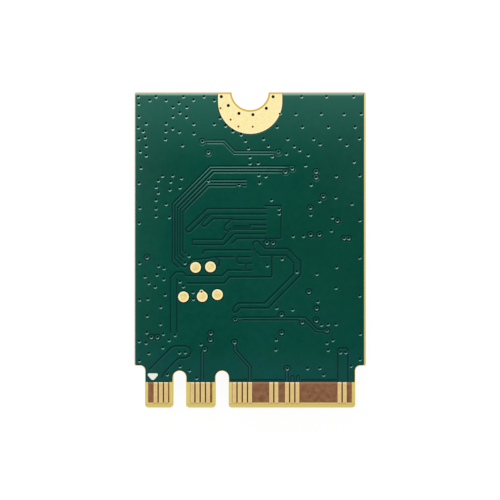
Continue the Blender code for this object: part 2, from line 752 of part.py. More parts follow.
def make_jack_pin(name, card, cutters):
    """Centre pin with a domed tip, and the tail that joins it to the signal land."""
    tip = JACK_PIN_HEIGHT - JACK_PIN_RADIUS
    dome = arc((0, tip), JACK_PIN_RADIUS, 0, 90, ARC_STEPS)[:-1]
    profile = [(0, SEAT_GAP), (JACK_PIN_RADIUS, SEAT_GAP), *dome, (0, JACK_PIN_HEIGHT)]
    pin = turned(name + "_pin", profile, card, SMALL_SEGMENTS)
    half = JACK_TAIL_WIDTH / 2
    end = JACK_BASE_SIZE / 2 + JACK_TAB_REACH
    high = (half, end, SEAT_GAP + JACK_TAIL_SHEET)
    boolean(pin, box(name + "_tail", (-half, -half, SEAT_GAP), high, cutters), "UNION")
    return dress(pin, "gold")


def make_antenna_jacks(card, cutters):
    for side, x in (("left", -JACK_X), ("right", JACK_X)):
        name = "antenna_jack_" + side
        for make in (make_jack_base, make_jack_shell, make_jack_pin):
            seat(make(name, card, cutters), (x, JACK_Y))


def by_shield_wall(width, length, side_x, side_y):
    """Place of a part that keeps its clearance to two walls of the shield."""
    x = side_x * (LID_WIDTH / 2 - WALL_CLEARANCE - width / 2)
    y = side_y * (LID_LENGTH / 2 - WALL_CLEARANCE - length / 2)
    return x, LID_CENTRE_Y + y


def make_package(name, size, height, place, card, cutters):
    """Moulded chip package with chamfered edges and a dimple at its first terminal."""
    half = size / 2
    package = box(name, (-half, -half, SEAT_GAP), (half, half, height), card)
    round_off_top(package, height, PACKAGE_CHAMFER, 1)
    mark = cylinder(name + "_mark", MARK_DIAMETER / 2, height - MARK_DEPTH, 2 * height, cutters)
    corner = MARK_INSET - half
    mark.data.transform(Matrix.Translation((corner, corner, 0)))
    boolean(package, mark, "DIFFERENCE")
    seat(dress(package, "black_epoxy"), place)


def make_front_end_modules(card, cutters):
    for name, side in (("left", -1), ("right", 1)):
        place = by_shield_wall(MODULE_SIZE, MODULE_SIZE, side, 1)
        make_package("front_end_module_" + name, MODULE_SIZE, MODULE_HEIGHT, place, card, cutters)


def make_inductors(card):
    """Moulded power inductors with well-rounded edges, one above the other."""
    x, y = by_shield_wall(INDUCTOR_LENGTH, INDUCTOR_WIDTH, 1, -1)
    outline = rectangle(INDUCTOR_LENGTH, INDUCTOR_WIDTH, INDUCTOR_CORNER)
    for index in range(INDUCTORS):
        name = f"power_inductor_{index + 1}"
        body = plate(name, outline, SEAT_GAP, INDUCTOR_HEIGHT, card)
        round_off_top(body, INDUCTOR_HEIGHT, INDUCTOR_CORNER / 2, 2)
        seat(dress(body, "ferrite"), (x, y + index * INDUCTOR_PITCH))


def make_crystal(card):
    """Ceramic base with a smaller metal lid seamed on top."""
    low = (-CRYSTAL_LENGTH / 2, -CRYSTAL_WIDTH / 2, SEAT_GAP)
    high = (CRYSTAL_LENGTH / 2, CRYSTAL_WIDTH / 2, CRYSTAL_BASE_HEIGHT)
    crystal = box("crystal", low, high, card)
    bm = mesh_of(crystal)
    top = [face for face in bm.faces if face.normal.z > 0.5]
    bmesh.ops.inset_region(bm, faces=top, thickness=CRYSTAL_LID_INSET)
    raised = bmesh.ops.extrude_face_region(bm, geom=top)
    verts = [item for item in raised["geom"] if isinstance(item, bmesh.types.BMVert)]
    bmesh.ops.translate(bm, vec=(0, 0, CRYSTAL_LID_HEIGHT), verts=verts)
    bmesh.ops.delete(bm, geom=top, context="FACES")
    give_mesh(crystal, bm)
    x = by_shield_wall(CRYSTAL_LENGTH, CRYSTAL_WIDTH, -1, 1)[0]
    seat(dress(crystal, "ceramic"), (x, RADIO_CHIP_PLACE[1]))


def make_chip_part(name, sizes, material, place, turn, card):
    """Small two-terminal part: a block with an end cap that stands proud all round."""
    length, width, height, cap = sizes
    low = (cap - length / 2, CAP_PROUD - width / 2, SEAT_GAP + CAP_PROUD)
    high = (length / 2 - cap, width / 2 - CAP_PROUD, height - CAP_PROUD)
    part = box(name, low, high, card)
    bm = mesh_of(part)
    middle = Vector((0, 0, (SEAT_GAP + height) / 2))
    grow = Vector((1, width / (high[1] - low[1]), (height - SEAT_GAP) / (high[2] - low[2])))
    for side in (-1, 1):
        face = next(face for face in bm.faces if face.normal.x * side > 0.5)
        step = bmesh.ops.extrude_discrete_faces(bm, faces=[face])["faces"]
        place_there = Matrix.Translation(-middle)
        bmesh.ops.scale(bm, vec=grow, space=place_there, verts=step[0].verts[:])
        end = bmesh.ops.extrude_discrete_faces(bm, faces=step)["faces"]
        bmesh.ops.translate(bm, vec=(side * cap, 0, 0), verts=end[0].verts[:])
    bmesh.ops.recalc_face_normals(bm, faces=bm.faces)
    give_mesh(part, bm)
    seat(dress(part, material), place, turn)


def make_chip_rows(card):
    """A row of chip parts along each side of the radio chip."""
    reach = RADIO_CHIP_SIZE / 2 + ROW_OFFSET
    for angle, names, sizes, material in CHIP_ROWS:
        outwards = Matrix.Rotation(math.radians(angle), 2)
        for index, name in enumerate(names):
            along = (index - (len(names) - 1) / 2) * ROW_PITCH
            place = Vector(RADIO_CHIP_PLACE) + outwards @ Vector((reach, along))
            make_chip_part(name, sizes, material, place, angle + 90, card)


def make_feed_parts(card):
    """Antenna filter below each jack, and two capacitors beside them."""
    for side, x, numbers in (("left", -JACK_X, (1, 3)), ("right", JACK_X, (2, 4))):
        make_chip_part("antenna_filter_" + side, FILTER_CHIP, "ceramic", (x, FILTER_Y), 90, card)
        inner = x - math.copysign(FEED_OFFSET, x)
        names = [f"capacitor_{number:02d}" for number in numbers]
        make_chip_part(names[0], LARGE_CHIP, "capacitor", (inner, FILTER_Y), 90, card)
        make_chip_part(names[1], SMALL_CHIP, "capacitor", (inner, JACK_Y), 0, card)


def build_card():
    clear_scene()
    make_materials()
    card = new_collection("laptop_wifi_card")
    cutters = new_collection("cutters")
    drills = make_via_drills(cutters)
    make_circuit_board(card, cutters, drills)
    make_solder_masks(card, cutters)
    make_mounting_ring(card, cutters, drills)
    make_back_contacts(card)
    make_test_pads(card)
    make_shield_frame(card, cutters)
    make_shield_lid(card, cutters)
    make_antenna_jacks(card, cutters)
    make_package("radio_chip", RADIO_CHIP_SIZE, RADIO_CHIP_HEIGHT, RADIO_CHIP_PLACE, card, cutters)
    make_front_end_modules(card, cutters)
    make_inductors(card)
    make_crystal(card)
    make_chip_rows(card)
    make_feed_parts(card)


build_card()
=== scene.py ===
"""Looks of the laptop wifi card, seen from its contact side.

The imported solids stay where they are. The coat of solder mask on the contact side is made
again here as a sheet in relief, with the grooves beside its copper tracks and the dimples
over its vias. Lengths are in millimetres until a mesh is finished. Colours are linear red,
green and blue, and a pair of them is the two tones of one mottle.
"""

import math

import bmesh
import bpy
from mathutils import Matrix, Vector
from mathutils.geometry import delaunay_2d_cdt


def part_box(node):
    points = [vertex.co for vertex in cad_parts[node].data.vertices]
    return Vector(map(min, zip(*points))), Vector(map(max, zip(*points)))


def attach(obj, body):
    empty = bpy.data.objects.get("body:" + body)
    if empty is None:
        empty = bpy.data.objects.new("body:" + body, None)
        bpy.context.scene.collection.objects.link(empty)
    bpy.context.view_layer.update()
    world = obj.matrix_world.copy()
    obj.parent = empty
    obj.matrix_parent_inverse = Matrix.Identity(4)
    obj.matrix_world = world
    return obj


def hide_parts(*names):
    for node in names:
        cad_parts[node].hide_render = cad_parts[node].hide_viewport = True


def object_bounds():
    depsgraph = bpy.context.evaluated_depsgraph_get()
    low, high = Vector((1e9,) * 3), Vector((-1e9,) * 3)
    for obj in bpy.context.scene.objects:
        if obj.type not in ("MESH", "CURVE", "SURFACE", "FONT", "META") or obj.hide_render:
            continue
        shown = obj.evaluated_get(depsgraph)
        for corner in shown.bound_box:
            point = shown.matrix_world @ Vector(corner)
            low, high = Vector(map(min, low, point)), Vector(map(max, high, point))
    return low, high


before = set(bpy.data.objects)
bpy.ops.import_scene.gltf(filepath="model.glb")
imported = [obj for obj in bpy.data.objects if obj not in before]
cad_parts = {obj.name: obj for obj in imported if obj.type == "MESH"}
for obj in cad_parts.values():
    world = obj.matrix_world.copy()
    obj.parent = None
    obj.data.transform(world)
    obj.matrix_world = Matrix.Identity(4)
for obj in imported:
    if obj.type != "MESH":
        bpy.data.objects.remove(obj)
cad_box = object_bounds()

MM = 0.001
TINY = 0.0005

# Where the card lies in the photograph
PIXELS_PER_MM = 10.515
CARD_CENTRE_PIXEL = (250.15, 250.03)
PHOTO_PIXELS = 500

# Studio, in metres and watts
LENS = 100
SENSOR = 36
CLIP_START = 0.01
AMBIENT = 0.55
FLOOR_HALF = 2.0
FLOOR_GREY = (0.85, 0.85, 0.85, 1)
FLOOR_GLOW = 0.93
SHADOW_SHARE = 0.15
LAMP_PLACE = (-0.025, 0.07, 0.044)
LAMP_LENGTH = 0.1
LAMP_DEPTH = 0.016
LAMP_POWER = 0.092

# Relief of the solder mask, whose top lies one print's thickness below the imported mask's
PRINT_THICKNESS = 0.006
GROOVE_HALF = 0.11
GROOVE_WALL = 0.085
GROOVE_DEPTH = 0.042
TRACK_HALF = 0.035
TRACK_GAP = 0.19
VIA_PAD = 0.19
DIMPLE_RADII = (0.178, 0.145, 0.09)
BOWL_DEPTH = 0.026
DIMPLE_DEPTH = 0.043
DIMPLE_LEAN = (-0.002, 0.03)
RIM_WIDTH = 0.09
RIM_DROP = 0.042
LIP_WIDTH = 0.16
LIP_DROP = 0.012
LAND_LAP = 0.062
SIDE_TRIM = 0.022
TOP_TRIM = 0.05

# How finely outlines are drawn, and how long a sharp corner may get
DISC_STEPS = 16
CAP_STEPS = 5
OUTLINE_STEP = 0.6
LEAST_MITRE = 0.5

# Edge contacts, and the inner copper plane under the three tabs of the bare tongue
CONTACT_PITCH = 0.5
FRONT_CONTACT_RISE = 0.03
PLANE_SPANS = ((-9.71, -7.68), (-5.72, -3.60), (-1.73, 9.68))
PLANE_START = 0.485

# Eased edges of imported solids
LAND_EASE = 0.02
CONTACT_EASE = 0.012
EASE_STEPS = 2
EASE_ANGLE = 40

# Mounting notch, its land and the marks on it
NOTCH_RADIUS = 1.76
NOTCH_LIFT = 0.08
LAND_RADIUS = 3.05
LAND_CENTRE_DOWN = 0.9
DOT_STEPS = 20
DOT_THICKNESS = 0.003
LAND_VIAS = ((221.3, 96.6), (228.3, 105.5), (238.9, 113.4), (252.9, 114.6), (266.3, 108.3), (273.1, 96.7))
LAND_VIA_RADIUS = 0.15
SMALL_LAND_VIAS = ((220.4, 108.2), (230.6, 119.6), (238.4, 126.5), (252.7, 126.7))
SMALL_LAND_VIA_RADIUS = 0.1
EDGE_VIAS = ((220.1, 116.8), (225.7, 124.4), (232.9, 130.0), (240.8, 133.2), (279.6, 113.7))
EDGE_VIA_RADIUS = 0.085

# Nub on one test pad, and the printed triangle
PAD_NUB = (201.5, 291.7)
PAD_NUB_RADIUS = 0.19
PAD_NUB_VIA_RADIUS = 0.1
PRINT_CORNERS = ((146.3, 373.4), (159.3, 373.4), (152.8, 381.4))
PRINT_ROUNDING = 0.3
PRINT_STEPS = 6

# Finish of the solder mask: the side from which it gets painted light and painted shade, and its colours
LIT_SIDE = (-0.4, 2.0, 0.0)
SHADED_LEAN = (0.05, 0.6)
LIT_LEAN = (0.05, 1.0)
GLINT_LEAN = (0.2, 0.95)
LIP_SPREAD = (0.05, 0.35)
MASK_ROUGHNESS = 0.33
MASK_SHEEN = (0.22, 1.0, 0.72, 1)
MASK_GREENS = ((0.0003, 0.039, 0.026), (0.0016, 0.050, 0.033))
MASK_BLUISH_GREENS = ((0.0004, 0.044, 0.031), (0.0018, 0.057, 0.0385))
LEFT_BORDER_GREEN = (0.004, 0.1, 0.07)
LOWER_END_GREEN = (0.001, 0.062, 0.066)
# Painted light towards the mask's upper end
UPPER_END_LIT_GREEN = (0.02, 0.135, 0.1)
# Painted highlight along the mask's upper edge
UPPER_EDGE_GLINT_GREEN = (0.14, 0.265, 0.21)
# Painted shade along the mask's lip
LIP_SHADE_GREEN = (0.0, 0.014, 0.014)
TRACK_GREEN = (0.04, 0.14, 0.115)
GROOVE_RIM_GREEN = (0.025, 0.075, 0.064)
# Groove floors, partly darker over bare board and partly painted shade; the same greens are painted shade
# on walls facing away from the light side
GROOVE_FLOOR_AND_SHADE_GREENS = ((0.0015, 0.027, 0.026), (0.0, 0.018, 0.018))
# Painted light on groove walls that face the light side
LIT_WALL_GREEN = (0.085, 0.2, 0.165)
# Painted shade and painted glints on the vias' bowl walls, and painted shade in their mouths
VIA_SHADE_GREEN = (0.002, 0.05, 0.038)
VIA_GLINTS = ((0.37, 0.75, 0.67), (0.56, 0.93, 0.87))
VIA_MOUTH_SHADE_GREEN = (0.0, 0.0125, 0.0085)
FRONT_MASK_GREENS = ((0.001, 0.05, 0.034), (0.003, 0.065, 0.046))

# Finishes of the gold
GOLD_ROUGHNESS = 0.28
GOLD_GRAIN = 0.1
GOLD_BUMP = 0.0015
CONTACT_GOLDS = ((0.66, 0.48, 0.19), (0.76, 0.56, 0.23))
CONTACT_LINE_GOLD = (0.92, 0.76, 0.36)
# Painted highlight at the contacts' ends, and painted shade at their very edges
CONTACT_END_GLINT_GOLD = (1.0, 0.9, 0.6)
CONTACT_EDGE_SHADE_GOLD = (0.34, 0.18, 0.07)
FRONT_CONTACT_GOLD = (0.76, 0.56, 0.21)
PAD_GOLDS = ((0.74, 0.60, 0.21), (0.88, 0.74, 0.36))
PAD_RIM_GOLD = (1.0, 0.84, 0.46)
LAND_GOLDS = ((0.93, 0.785, 0.375), (1.0, 0.905, 0.465))
LAND_BORDER_GOLD = (1.0, 0.93, 0.68)
LAND_WALL_GOLD = (0.72, 0.46, 0.06)
JACK_GOLD = (0.92, 0.72, 0.30)

# Finishes of the board
LAMINATE_YELLOWS = ((0.71, 0.56, 0.15), (0.80, 0.64, 0.19))
# Painted light on the bevel at the tongue's end
BEVEL_LIT_YELLOW = (0.98, 0.79, 0.265)
RIGHT_MARGIN_YELLOW = (0.63, 0.505, 0.21)
LEFT_MARGIN_GREY = (0.46, 0.37, 0.28)
TOP_MARGIN_BROWN = (0.47, 0.345, 0.19)
PLANE_BROWNS = ((0.20, 0.083, 0.036), (0.31, 0.15, 0.076))
# Painted shade between the contacts
SHADE_BETWEEN_CONTACTS_BROWN = (0.13, 0.04, 0.014)
NEAR_MASK_BROWN = (0.35, 0.195, 0.122)

# Finishes of the component side
CAP_TINS = ((0.58, 0.58, 0.56), (0.72, 0.72, 0.70))
SHIELD_TINS = ((0.58, 0.58, 0.57), (0.70, 0.70, 0.69))
CRYSTAL_BASES = ((0.70, 0.69, 0.66), (0.80, 0.79, 0.76))
CRYSTAL_LIDS = ((0.70, 0.66, 0.56), (0.78, 0.74, 0.64))

# Between which values of a noise its two tones change
SOFT = (0.3, 0.7)
CRISP = (0.35, 0.65)

# Where the looks of the mask change: above or below the card's middle, or inside an edge of it
ABOVE_MIDDLE = (3.5, 8)
UPPER_END = (8, 15)
UPPER_EDGE = (-0.29, -0.16)
LEFT_BORDER = (0.3, 0.55)
TO_LOWER_LEFT = (-3, 6)
STAINED_END = (6, 11)
STAINS = (0.5, 0.75)
LOWER_END = (9.5, 11.5)
HAZY_UPPER_EDGE = (-0.7, -0.4)
HAZY_SIDES = (5, 11)
HAZY_SIDES_RISE = (2, 7)
HAZY_LEFT = (7.8, 10.4)
HAZY_LOWER_END = (9, 11.5)

# Where they change with the depth in a groove, and with the amount that marks a via
GROOVE_RIM_BAND = ((0.0, 0.004), (0.01, 0.018))
GROOVE_WALL_BAND = ((0.001, 0.006), (0.036, 0.0415))
GROOVE_FLOOR = (0.03, 0.038)
LOWER_FLOOR_RISE = 0.014
VIA_BORDER = (0.02, 0.1)
VIA_BOWL = (0.2, 0.42)
VIA_GLAZE_BAND = ((0.05, 0.2), (0.7, 0.95))
VIA_MOUTH_EDGE = (0.8, 0.95)

# Where the looks of the gold change: across a contact, inside its end, out from a pad's centre,
# outside the notch's radius, about the land's radius and below its top edge
CONTACT_LINE_BAND = ((0.12, 0.15), (0.165, 0.18))
CONTACT_CUT_EDGE = (0.16, 0.182)
CONTACT_PALE_END = (-0.14, -0.06)
PAD_PALE_RIM = (0.33, 0.4)
NOTCH_WALL = (0.14, 0.21)
NOTCH_BAND = ((0.2, 0.24), (0.28, 0.36))
LAND_BORDER = (-0.16, -0.08)
LAND_TOP_WALL = (0.12, 0.18)

# Where the looks of the board change, and those of the crystal above its lid
BEVEL_TOP = (0.2, 0.5)
PALE_PLANE_END = (-0.25, -0.05)
UPPER_LAYER = 0.05
CRYSTAL_LID_EDGE = (0.1, 0.11)

# Vias under the solder mask, as pixels of the photograph
VIAS_TOP_LEFT = (
    (138.3, 96.8), (156.0, 96.8), (149.8, 100.5), (166.1, 100.5), (183.4, 96.8), (179.0, 103.0),
    (173.0, 107.2), (186.7, 107.4), (193.5, 100.1), (204.1, 96.8), (214.3, 100.5), (138.7, 104.1),
    (179.9, 112.8), (138.8, 116.7), (173.0, 116.7), (186.5, 117.1), (146.2, 123.8), (166.1, 123.8),
    (193.7, 124.2), (214.3, 124.2), (220.1, 118.1), (225.5, 126.0), (232.8, 131.6), (241.1, 134.8),
    (138.3, 127.7), (143.2, 131.6), (172.7, 128.9), (165.8, 131.6), (179.4, 132.0), (193.9, 133.7),
    (145.2, 137.3), (138.8, 139.1), (165.5, 139.5), (245.4, 141.0), (146.2, 146.1), (182.4, 145.6),
    (248.4, 148.6), (140.2, 151.8), (249.9, 157.3), (146.2, 155.9), (249.9, 163.5), (140.8, 168.1),
    (162.4, 176.2), (172.7, 175.8), (181.5, 178.5), (158.2, 180.8), (170.7, 182.0), (208.5, 180.9),
    (139.0, 183.3), (239.1, 185.3), (156.2, 187.3), (180.0, 187.8), (169.8, 189.9), (158.3, 193.0),
    (156.0, 200.3), (166.2, 204.4), (139.8, 208.2), (156.0, 208.8),
)
VIAS_TOP_RIGHT = (
    (301.6, 96.7), (326.5, 96.7), (353.6, 96.7), (280.2, 113.7), (296.0, 114.3), (321.3, 113.9),
    (344.1, 114.2), (361.1, 113.9), (277.0, 127.0), (302.4, 127.0), (328.4, 127.2), (355.1, 127.0),
    (263.5, 139.0), (287.7, 139.2), (313.6, 139.2), (339.9, 138.6), (359.4, 138.5), (268.4, 146.1),
    (294.3, 146.5), (320.1, 144.4), (346.8, 145.2), (299.7, 150.4), (286.3, 154.0), (308.2, 155.2),
    (272.3, 156.6), (258.1, 163.2), (305.6, 165.7), (354.1, 162.0), (258.7, 175.3), (265.8, 176.5),
    (336.4, 176.3), (359.8, 175.7), (259.6, 183.0), (311.0, 185.0), (271.5, 200.1), (335.8, 197.7),
    (319.6, 201.4), (352.0, 204.1), (279.0, 209.1),
)
VIAS_MIDDLE_LEFT = (
    (155.9, 216.4), (169.3, 217.4), (139.1, 223.2), (139.6, 263.3), (158.6, 266.3), (164.0, 268.6),
    (156.9, 275.0), (144.9, 276.9), (163.7, 279.4), (179.9, 281.8), (148.8, 283.4), (155.2, 287.1),
    (183.3, 286.7), (193.1, 292.5), (193.3, 299.3), (165.2, 294.9), (139.5, 300.0), (147.8, 299.2),
    (160.7, 307.2), (147.1, 316.1), (160.5, 324.3),
)
VIAS_MIDDLE_RIGHT = (
    (279.2, 213.8), (310.7, 214.9), (332.5, 217.8), (359.9, 220.5), (331.4, 230.9), (293.1, 236.3),
    (303.5, 236.3), (282.1, 259.2), (359.8, 258.0), (267.4, 265.7), (336.7, 267.4), (297.0, 272.1),
    (316.8, 274.2), (336.0, 288.2), (359.8, 296.0), (317.9, 301.8), (276.7, 308.2), (292.6, 309.8),
    (321.5, 325.2), (328.1, 324.5), (336.0, 324.5), (360.3, 334.2),
)
VIAS_BOTTOM = (
    (146.8, 332.8), (163.2, 334.2), (175.0, 335.5), (169.0, 340.4), (139.1, 341.5), (145.9, 343.3),
    (162.8, 347.9), (148.8, 353.5), (179.5, 352.8), (185.2, 352.7), (139.3, 361.0), (180.0, 366.6),
    (189.5, 370.7), (167.3, 374.8), (196.6, 378.3), (201.0, 344.6), (276.3, 340.0), (332.9, 340.4),
    (326.9, 343.3), (275.7, 349.9), (328.1, 350.3), (340.4, 352.7), (345.7, 352.7), (360.1, 359.7),
    (307.5, 368.6), (319.8, 368.4), (351.1, 366.2), (323.6, 375.1),
)
SMALL_VIAS = VIAS_TOP_LEFT + VIAS_TOP_RIGHT + VIAS_MIDDLE_LEFT + VIAS_MIDDLE_RIGHT + VIAS_BOTTOM

# Vias that stand alone in a ring cut out of the copper
RINGED_VIAS = (
    (208.5, 152.8), (316.2, 172.0), (316.2, 177.7), (323.3, 196.5), (310.5, 208.0), (147.1, 257.8),
    (210.9, 333.6), (337.5, 221.0), (310.8, 234.9), (319.5, 234.9), (344.2, 238.6), (348.7, 238.6),
    (266.9, 243.0), (273.1, 243.1), (309.0, 292.1), (316.7, 308.7), (281.6, 314.9), (302.3, 322.6),
    (316.4, 320.7), (281.6, 333.2), (151.2, 337.6), (157.5, 337.6), (210.5, 340.1),
)

# Tracks with a groove on both sides, from one via to another or to the contacts
TRACKS = (
    ((202.3, 141.8), (224.0, 141.8), (234.7, 152.6), (278.4, 152.6)),
    ((235.1, 320.0), (237.5, 318.8), (304.7, 318.8), (316.7, 330.8), (327.1, 331.2)),
    ((204.8, 349.9), (202.4, 352.6), (202.4, 381.0)),
    ((234.6, 342.6), (235.4, 351.0), (250.0, 367.3), (250.0, 381.0)),
    ((287.3, 368.9), (287.0, 371.0), (287.0, 381.0)),
)
TRACKS_FROM_CONTACTS = (
    ((292.7, 377.2), (292.7, 381.0)),
    ((298.1, 377.2), (298.1, 381.0)),
)
BUNDLE_VIAS = ((292.3, 168.7), (285.6, 172.0), (189.0, 256.2), (184.9, 263.3))

# Single grooves, each drawn along its middle
BUNDLE_GROOVES = (
    ((289.5, 166.5), (210.0, 166.5), (172.5, 204.0), (172.5, 262.3), (177.8, 267.6)),
    (
        (288.0, 169.3), (211.4, 169.3), (175.1, 205.6), (175.1, 259.3), (182.4, 266.6),
        (184.7, 267.4), (187.0, 266.2), (192.7, 259.8), (200.0, 259.3), (208.0, 258.5),
        (214.5, 257.1), (250.5, 257.1),
    ),
    ((282.6, 172.2), (213.8, 172.2), (177.7, 208.3), (177.7, 256.8), (181.9, 261.0)),
    ((245.8, 183.2), (207.1, 183.2), (180.3, 210.0), (180.3, 254.4), (184.0, 258.1)),
    ((245.8, 186.2), (208.7, 186.2), (183.0, 211.9), (183.0, 251.0), (185.4, 253.4)),
    ((245.8, 180.2), (211.7, 180.2)),
)
MIDDLE_GROOVES = (
    (
        (266.3, 208.9), (207.3, 208.9), (186.0, 229.2), (186.0, 231.0), (187.6, 232.4),
        (190.3, 231.9), (208.4, 214.6),
    ),
    (
        (266.3, 214.3), (211.0, 214.3), (202.4, 222.8), (202.2, 225.4), (203.8, 226.9),
        (206.0, 226.0), (213.4, 219.0), (231.9, 219.0), (224.6, 226.2), (224.4, 229.5), (227.3, 231.6),
    ),
    ((232.5, 219.9), (265.8, 220.1)),
    ((249.5, 225.2), (265.8, 225.2)),
    ((265.8, 229.5), (230.2, 229.5), (222.6, 239.8), (192.4, 239.8), (192.4, 245.0)),
    ((265.8, 234.0), (234.6, 234.0), (223.8, 245.0), (192.4, 245.0)),
    ((232.3, 243.5), (237.2, 238.8), (280.4, 238.8), (281.2, 238.0), (281.2, 206.0), (264.6, 206.0)),
    ((202.8, 254.0), (204.2, 250.9), (205.6, 250.2), (253.0, 250.2)),
    ((214.5, 257.1), (219.6, 261.2), (219.0, 266.2)),
    ((237.0, 257.9), (237.0, 262.2), (238.6, 263.5), (252.0, 263.5)),
    ((246.3, 264.2), (246.0, 269.5)),
)
LOOP_GROOVES = (
    (
        (254.0, 249.5), (252.9, 245.4), (254.2, 242.0), (257.5, 241.2), (261.2, 244.9),
        (265.4, 248.9), (287.6, 248.9), (300.9, 261.8), (300.9, 275.0), (268.6, 308.2),
        (240.8, 308.2), (236.9, 312.3), (234.3, 312.7), (232.9, 310.5), (234.2, 306.7),
        (238.4, 303.3), (264.8, 303.3), (293.9, 274.2), (293.9, 263.4), (286.2, 255.6),
        (260.5, 255.6), (254.0, 249.5),
    ),
)
SUPPLY_GROOVES = (
    (
        (170.6, 333.0), (170.6, 278.0), (176.2, 272.2), (183.2, 272.2), (186.5, 275.9),
        (222.4, 275.9), (228.0, 270.4), (251.5, 270.4),
    ),
    ((176.9, 332.5), (176.9, 279.8)),
    ((187.3, 283.4), (224.4, 283.4), (229.8, 277.2), (271.0, 277.2), (271.9, 276.3), (271.9, 256.6)),
    (
        (149.7, 369.3), (171.6, 347.6), (174.8, 346.3), (185.5, 346.3), (190.0, 348.4),
        (191.2, 352.3), (189.5, 356.3), (184.7, 358.5), (179.2, 358.3), (176.6, 360.2),
        (164.2, 373.2), (162.2, 377.8),
    ),
    ((338.0, 381.0), (338.0, 349.8), (339.4, 348.4), (346.4, 348.4), (348.0, 350.0), (348.0, 381.0)),
)
GROOVES = BUNDLE_GROOVES + MIDDLE_GROOVES + LOOP_GROOVES + SUPPLY_GROOVES

# Wide gaps in the copper, with their half width
BARE_HALF = 0.2
BARE_WALL = 0.05
BARE_GAPS = (
    ((234.5, 227.3), (249.0, 227.3)),
)
EDGE_GAP_HALF = 0.17
EDGE_GAPS = (
    ((231.5, 380.7), (246.0, 380.7)),
    ((254.0, 380.7), (283.0, 380.7)),
    ((302.3, 380.7), (335.8, 380.7)),
)


class Shade:
    """A socket that varies over a surface. Arithmetic on it adds Math nodes."""

    def __init__(self, graph, socket):
        self.graph = graph
        self.socket = socket

    def maths(self, operation, first, second=0.0, clamp=False):
        settings = {"operation": operation, "use_clamp": clamp}
        return self.graph.node("ShaderNodeMath", settings, {0: first, 1: second})

    def __add__(self, other):
        return self.maths("ADD", self, other)

    def __radd__(self, other):
        return self.maths("ADD", other, self)

    def __sub__(self, other):
        return self.maths("SUBTRACT", self, other)

    def __rsub__(self, other):
        return self.maths("SUBTRACT", other, self)

    def __neg__(self):
        return 0 - self

    def __mul__(self, other):
        return self.maths("MULTIPLY", self, other)

    def __rmul__(self, other):
        return self.maths("MULTIPLY", other, self)

    def __truediv__(self, other):
        return self.maths("DIVIDE", self, other)

    def __gt__(self, other):
        return self.maths("GREATER_THAN", self, other)

    def __lt__(self, other):
        return self.maths("LESS_THAN", self, other)

    def __abs__(self):
        return self.maths("ABSOLUTE", self)

    def fraction(self):
        return self.maths("FRACT", self)

    def root(self):
        return self.maths("SQRT", self)

    def at_least(self, other):
        return self.maths("MAXIMUM", self, other)

    def clamped(self):
        return self.maths("ADD", self, 0.0, clamp=True)

    def ramp(self, low, high):
        """From 0 at low to 1 at high."""
        return ((self - low) / (high - low)).clamped()

    def plateau(self, rise, fall):
        """From 0 to 1 over the first pair, and back to 0 over the second."""
        return self.ramp(*rise) * (1 - self.ramp(*fall))


class Graph:
    """The nodes of a material or of the world."""

    def __init__(self, owner):
        owner.use_nodes = True
        self.tree = owner.node_tree

    def join(self, node, inputs):
        """Give sockets of a node their values or links."""
        for key, value in inputs.items():
            if isinstance(value, Shade):
                self.tree.links.new(value.socket, node.inputs[key])
            else:
                node.inputs[key].default_value = value

    def node(self, kind, settings, inputs, output=0):
        """Any new node: its settings are made first, then the values or links of its sockets."""
        node = self.tree.nodes.new(kind)
        for name, value in settings.items():
            setattr(node, name, value)
        self.join(node, inputs)
        return Shade(self, node.outputs[output])

    def first_node(self, name, inputs):
        """A shader that the graph has from the start."""
        node = self.tree.nodes[name]
        self.join(node, inputs)
        return Shade(self, node.outputs[0])

    def choose(self, amount, first, second):
        """Shader between two shaders."""
        return self.node("ShaderNodeMixShader", {}, {0: amount, 1: first, 2: second})

    def seen_by(self, *rays):
        """One for a ray of any of these kinds, else nought."""
        kinds = [self.node("ShaderNodeLightPath", {}, {}, ray) for ray in rays]
        total = kinds[0]
        for kind in kinds[1:]:
            total = total.at_least(kind)
        return total


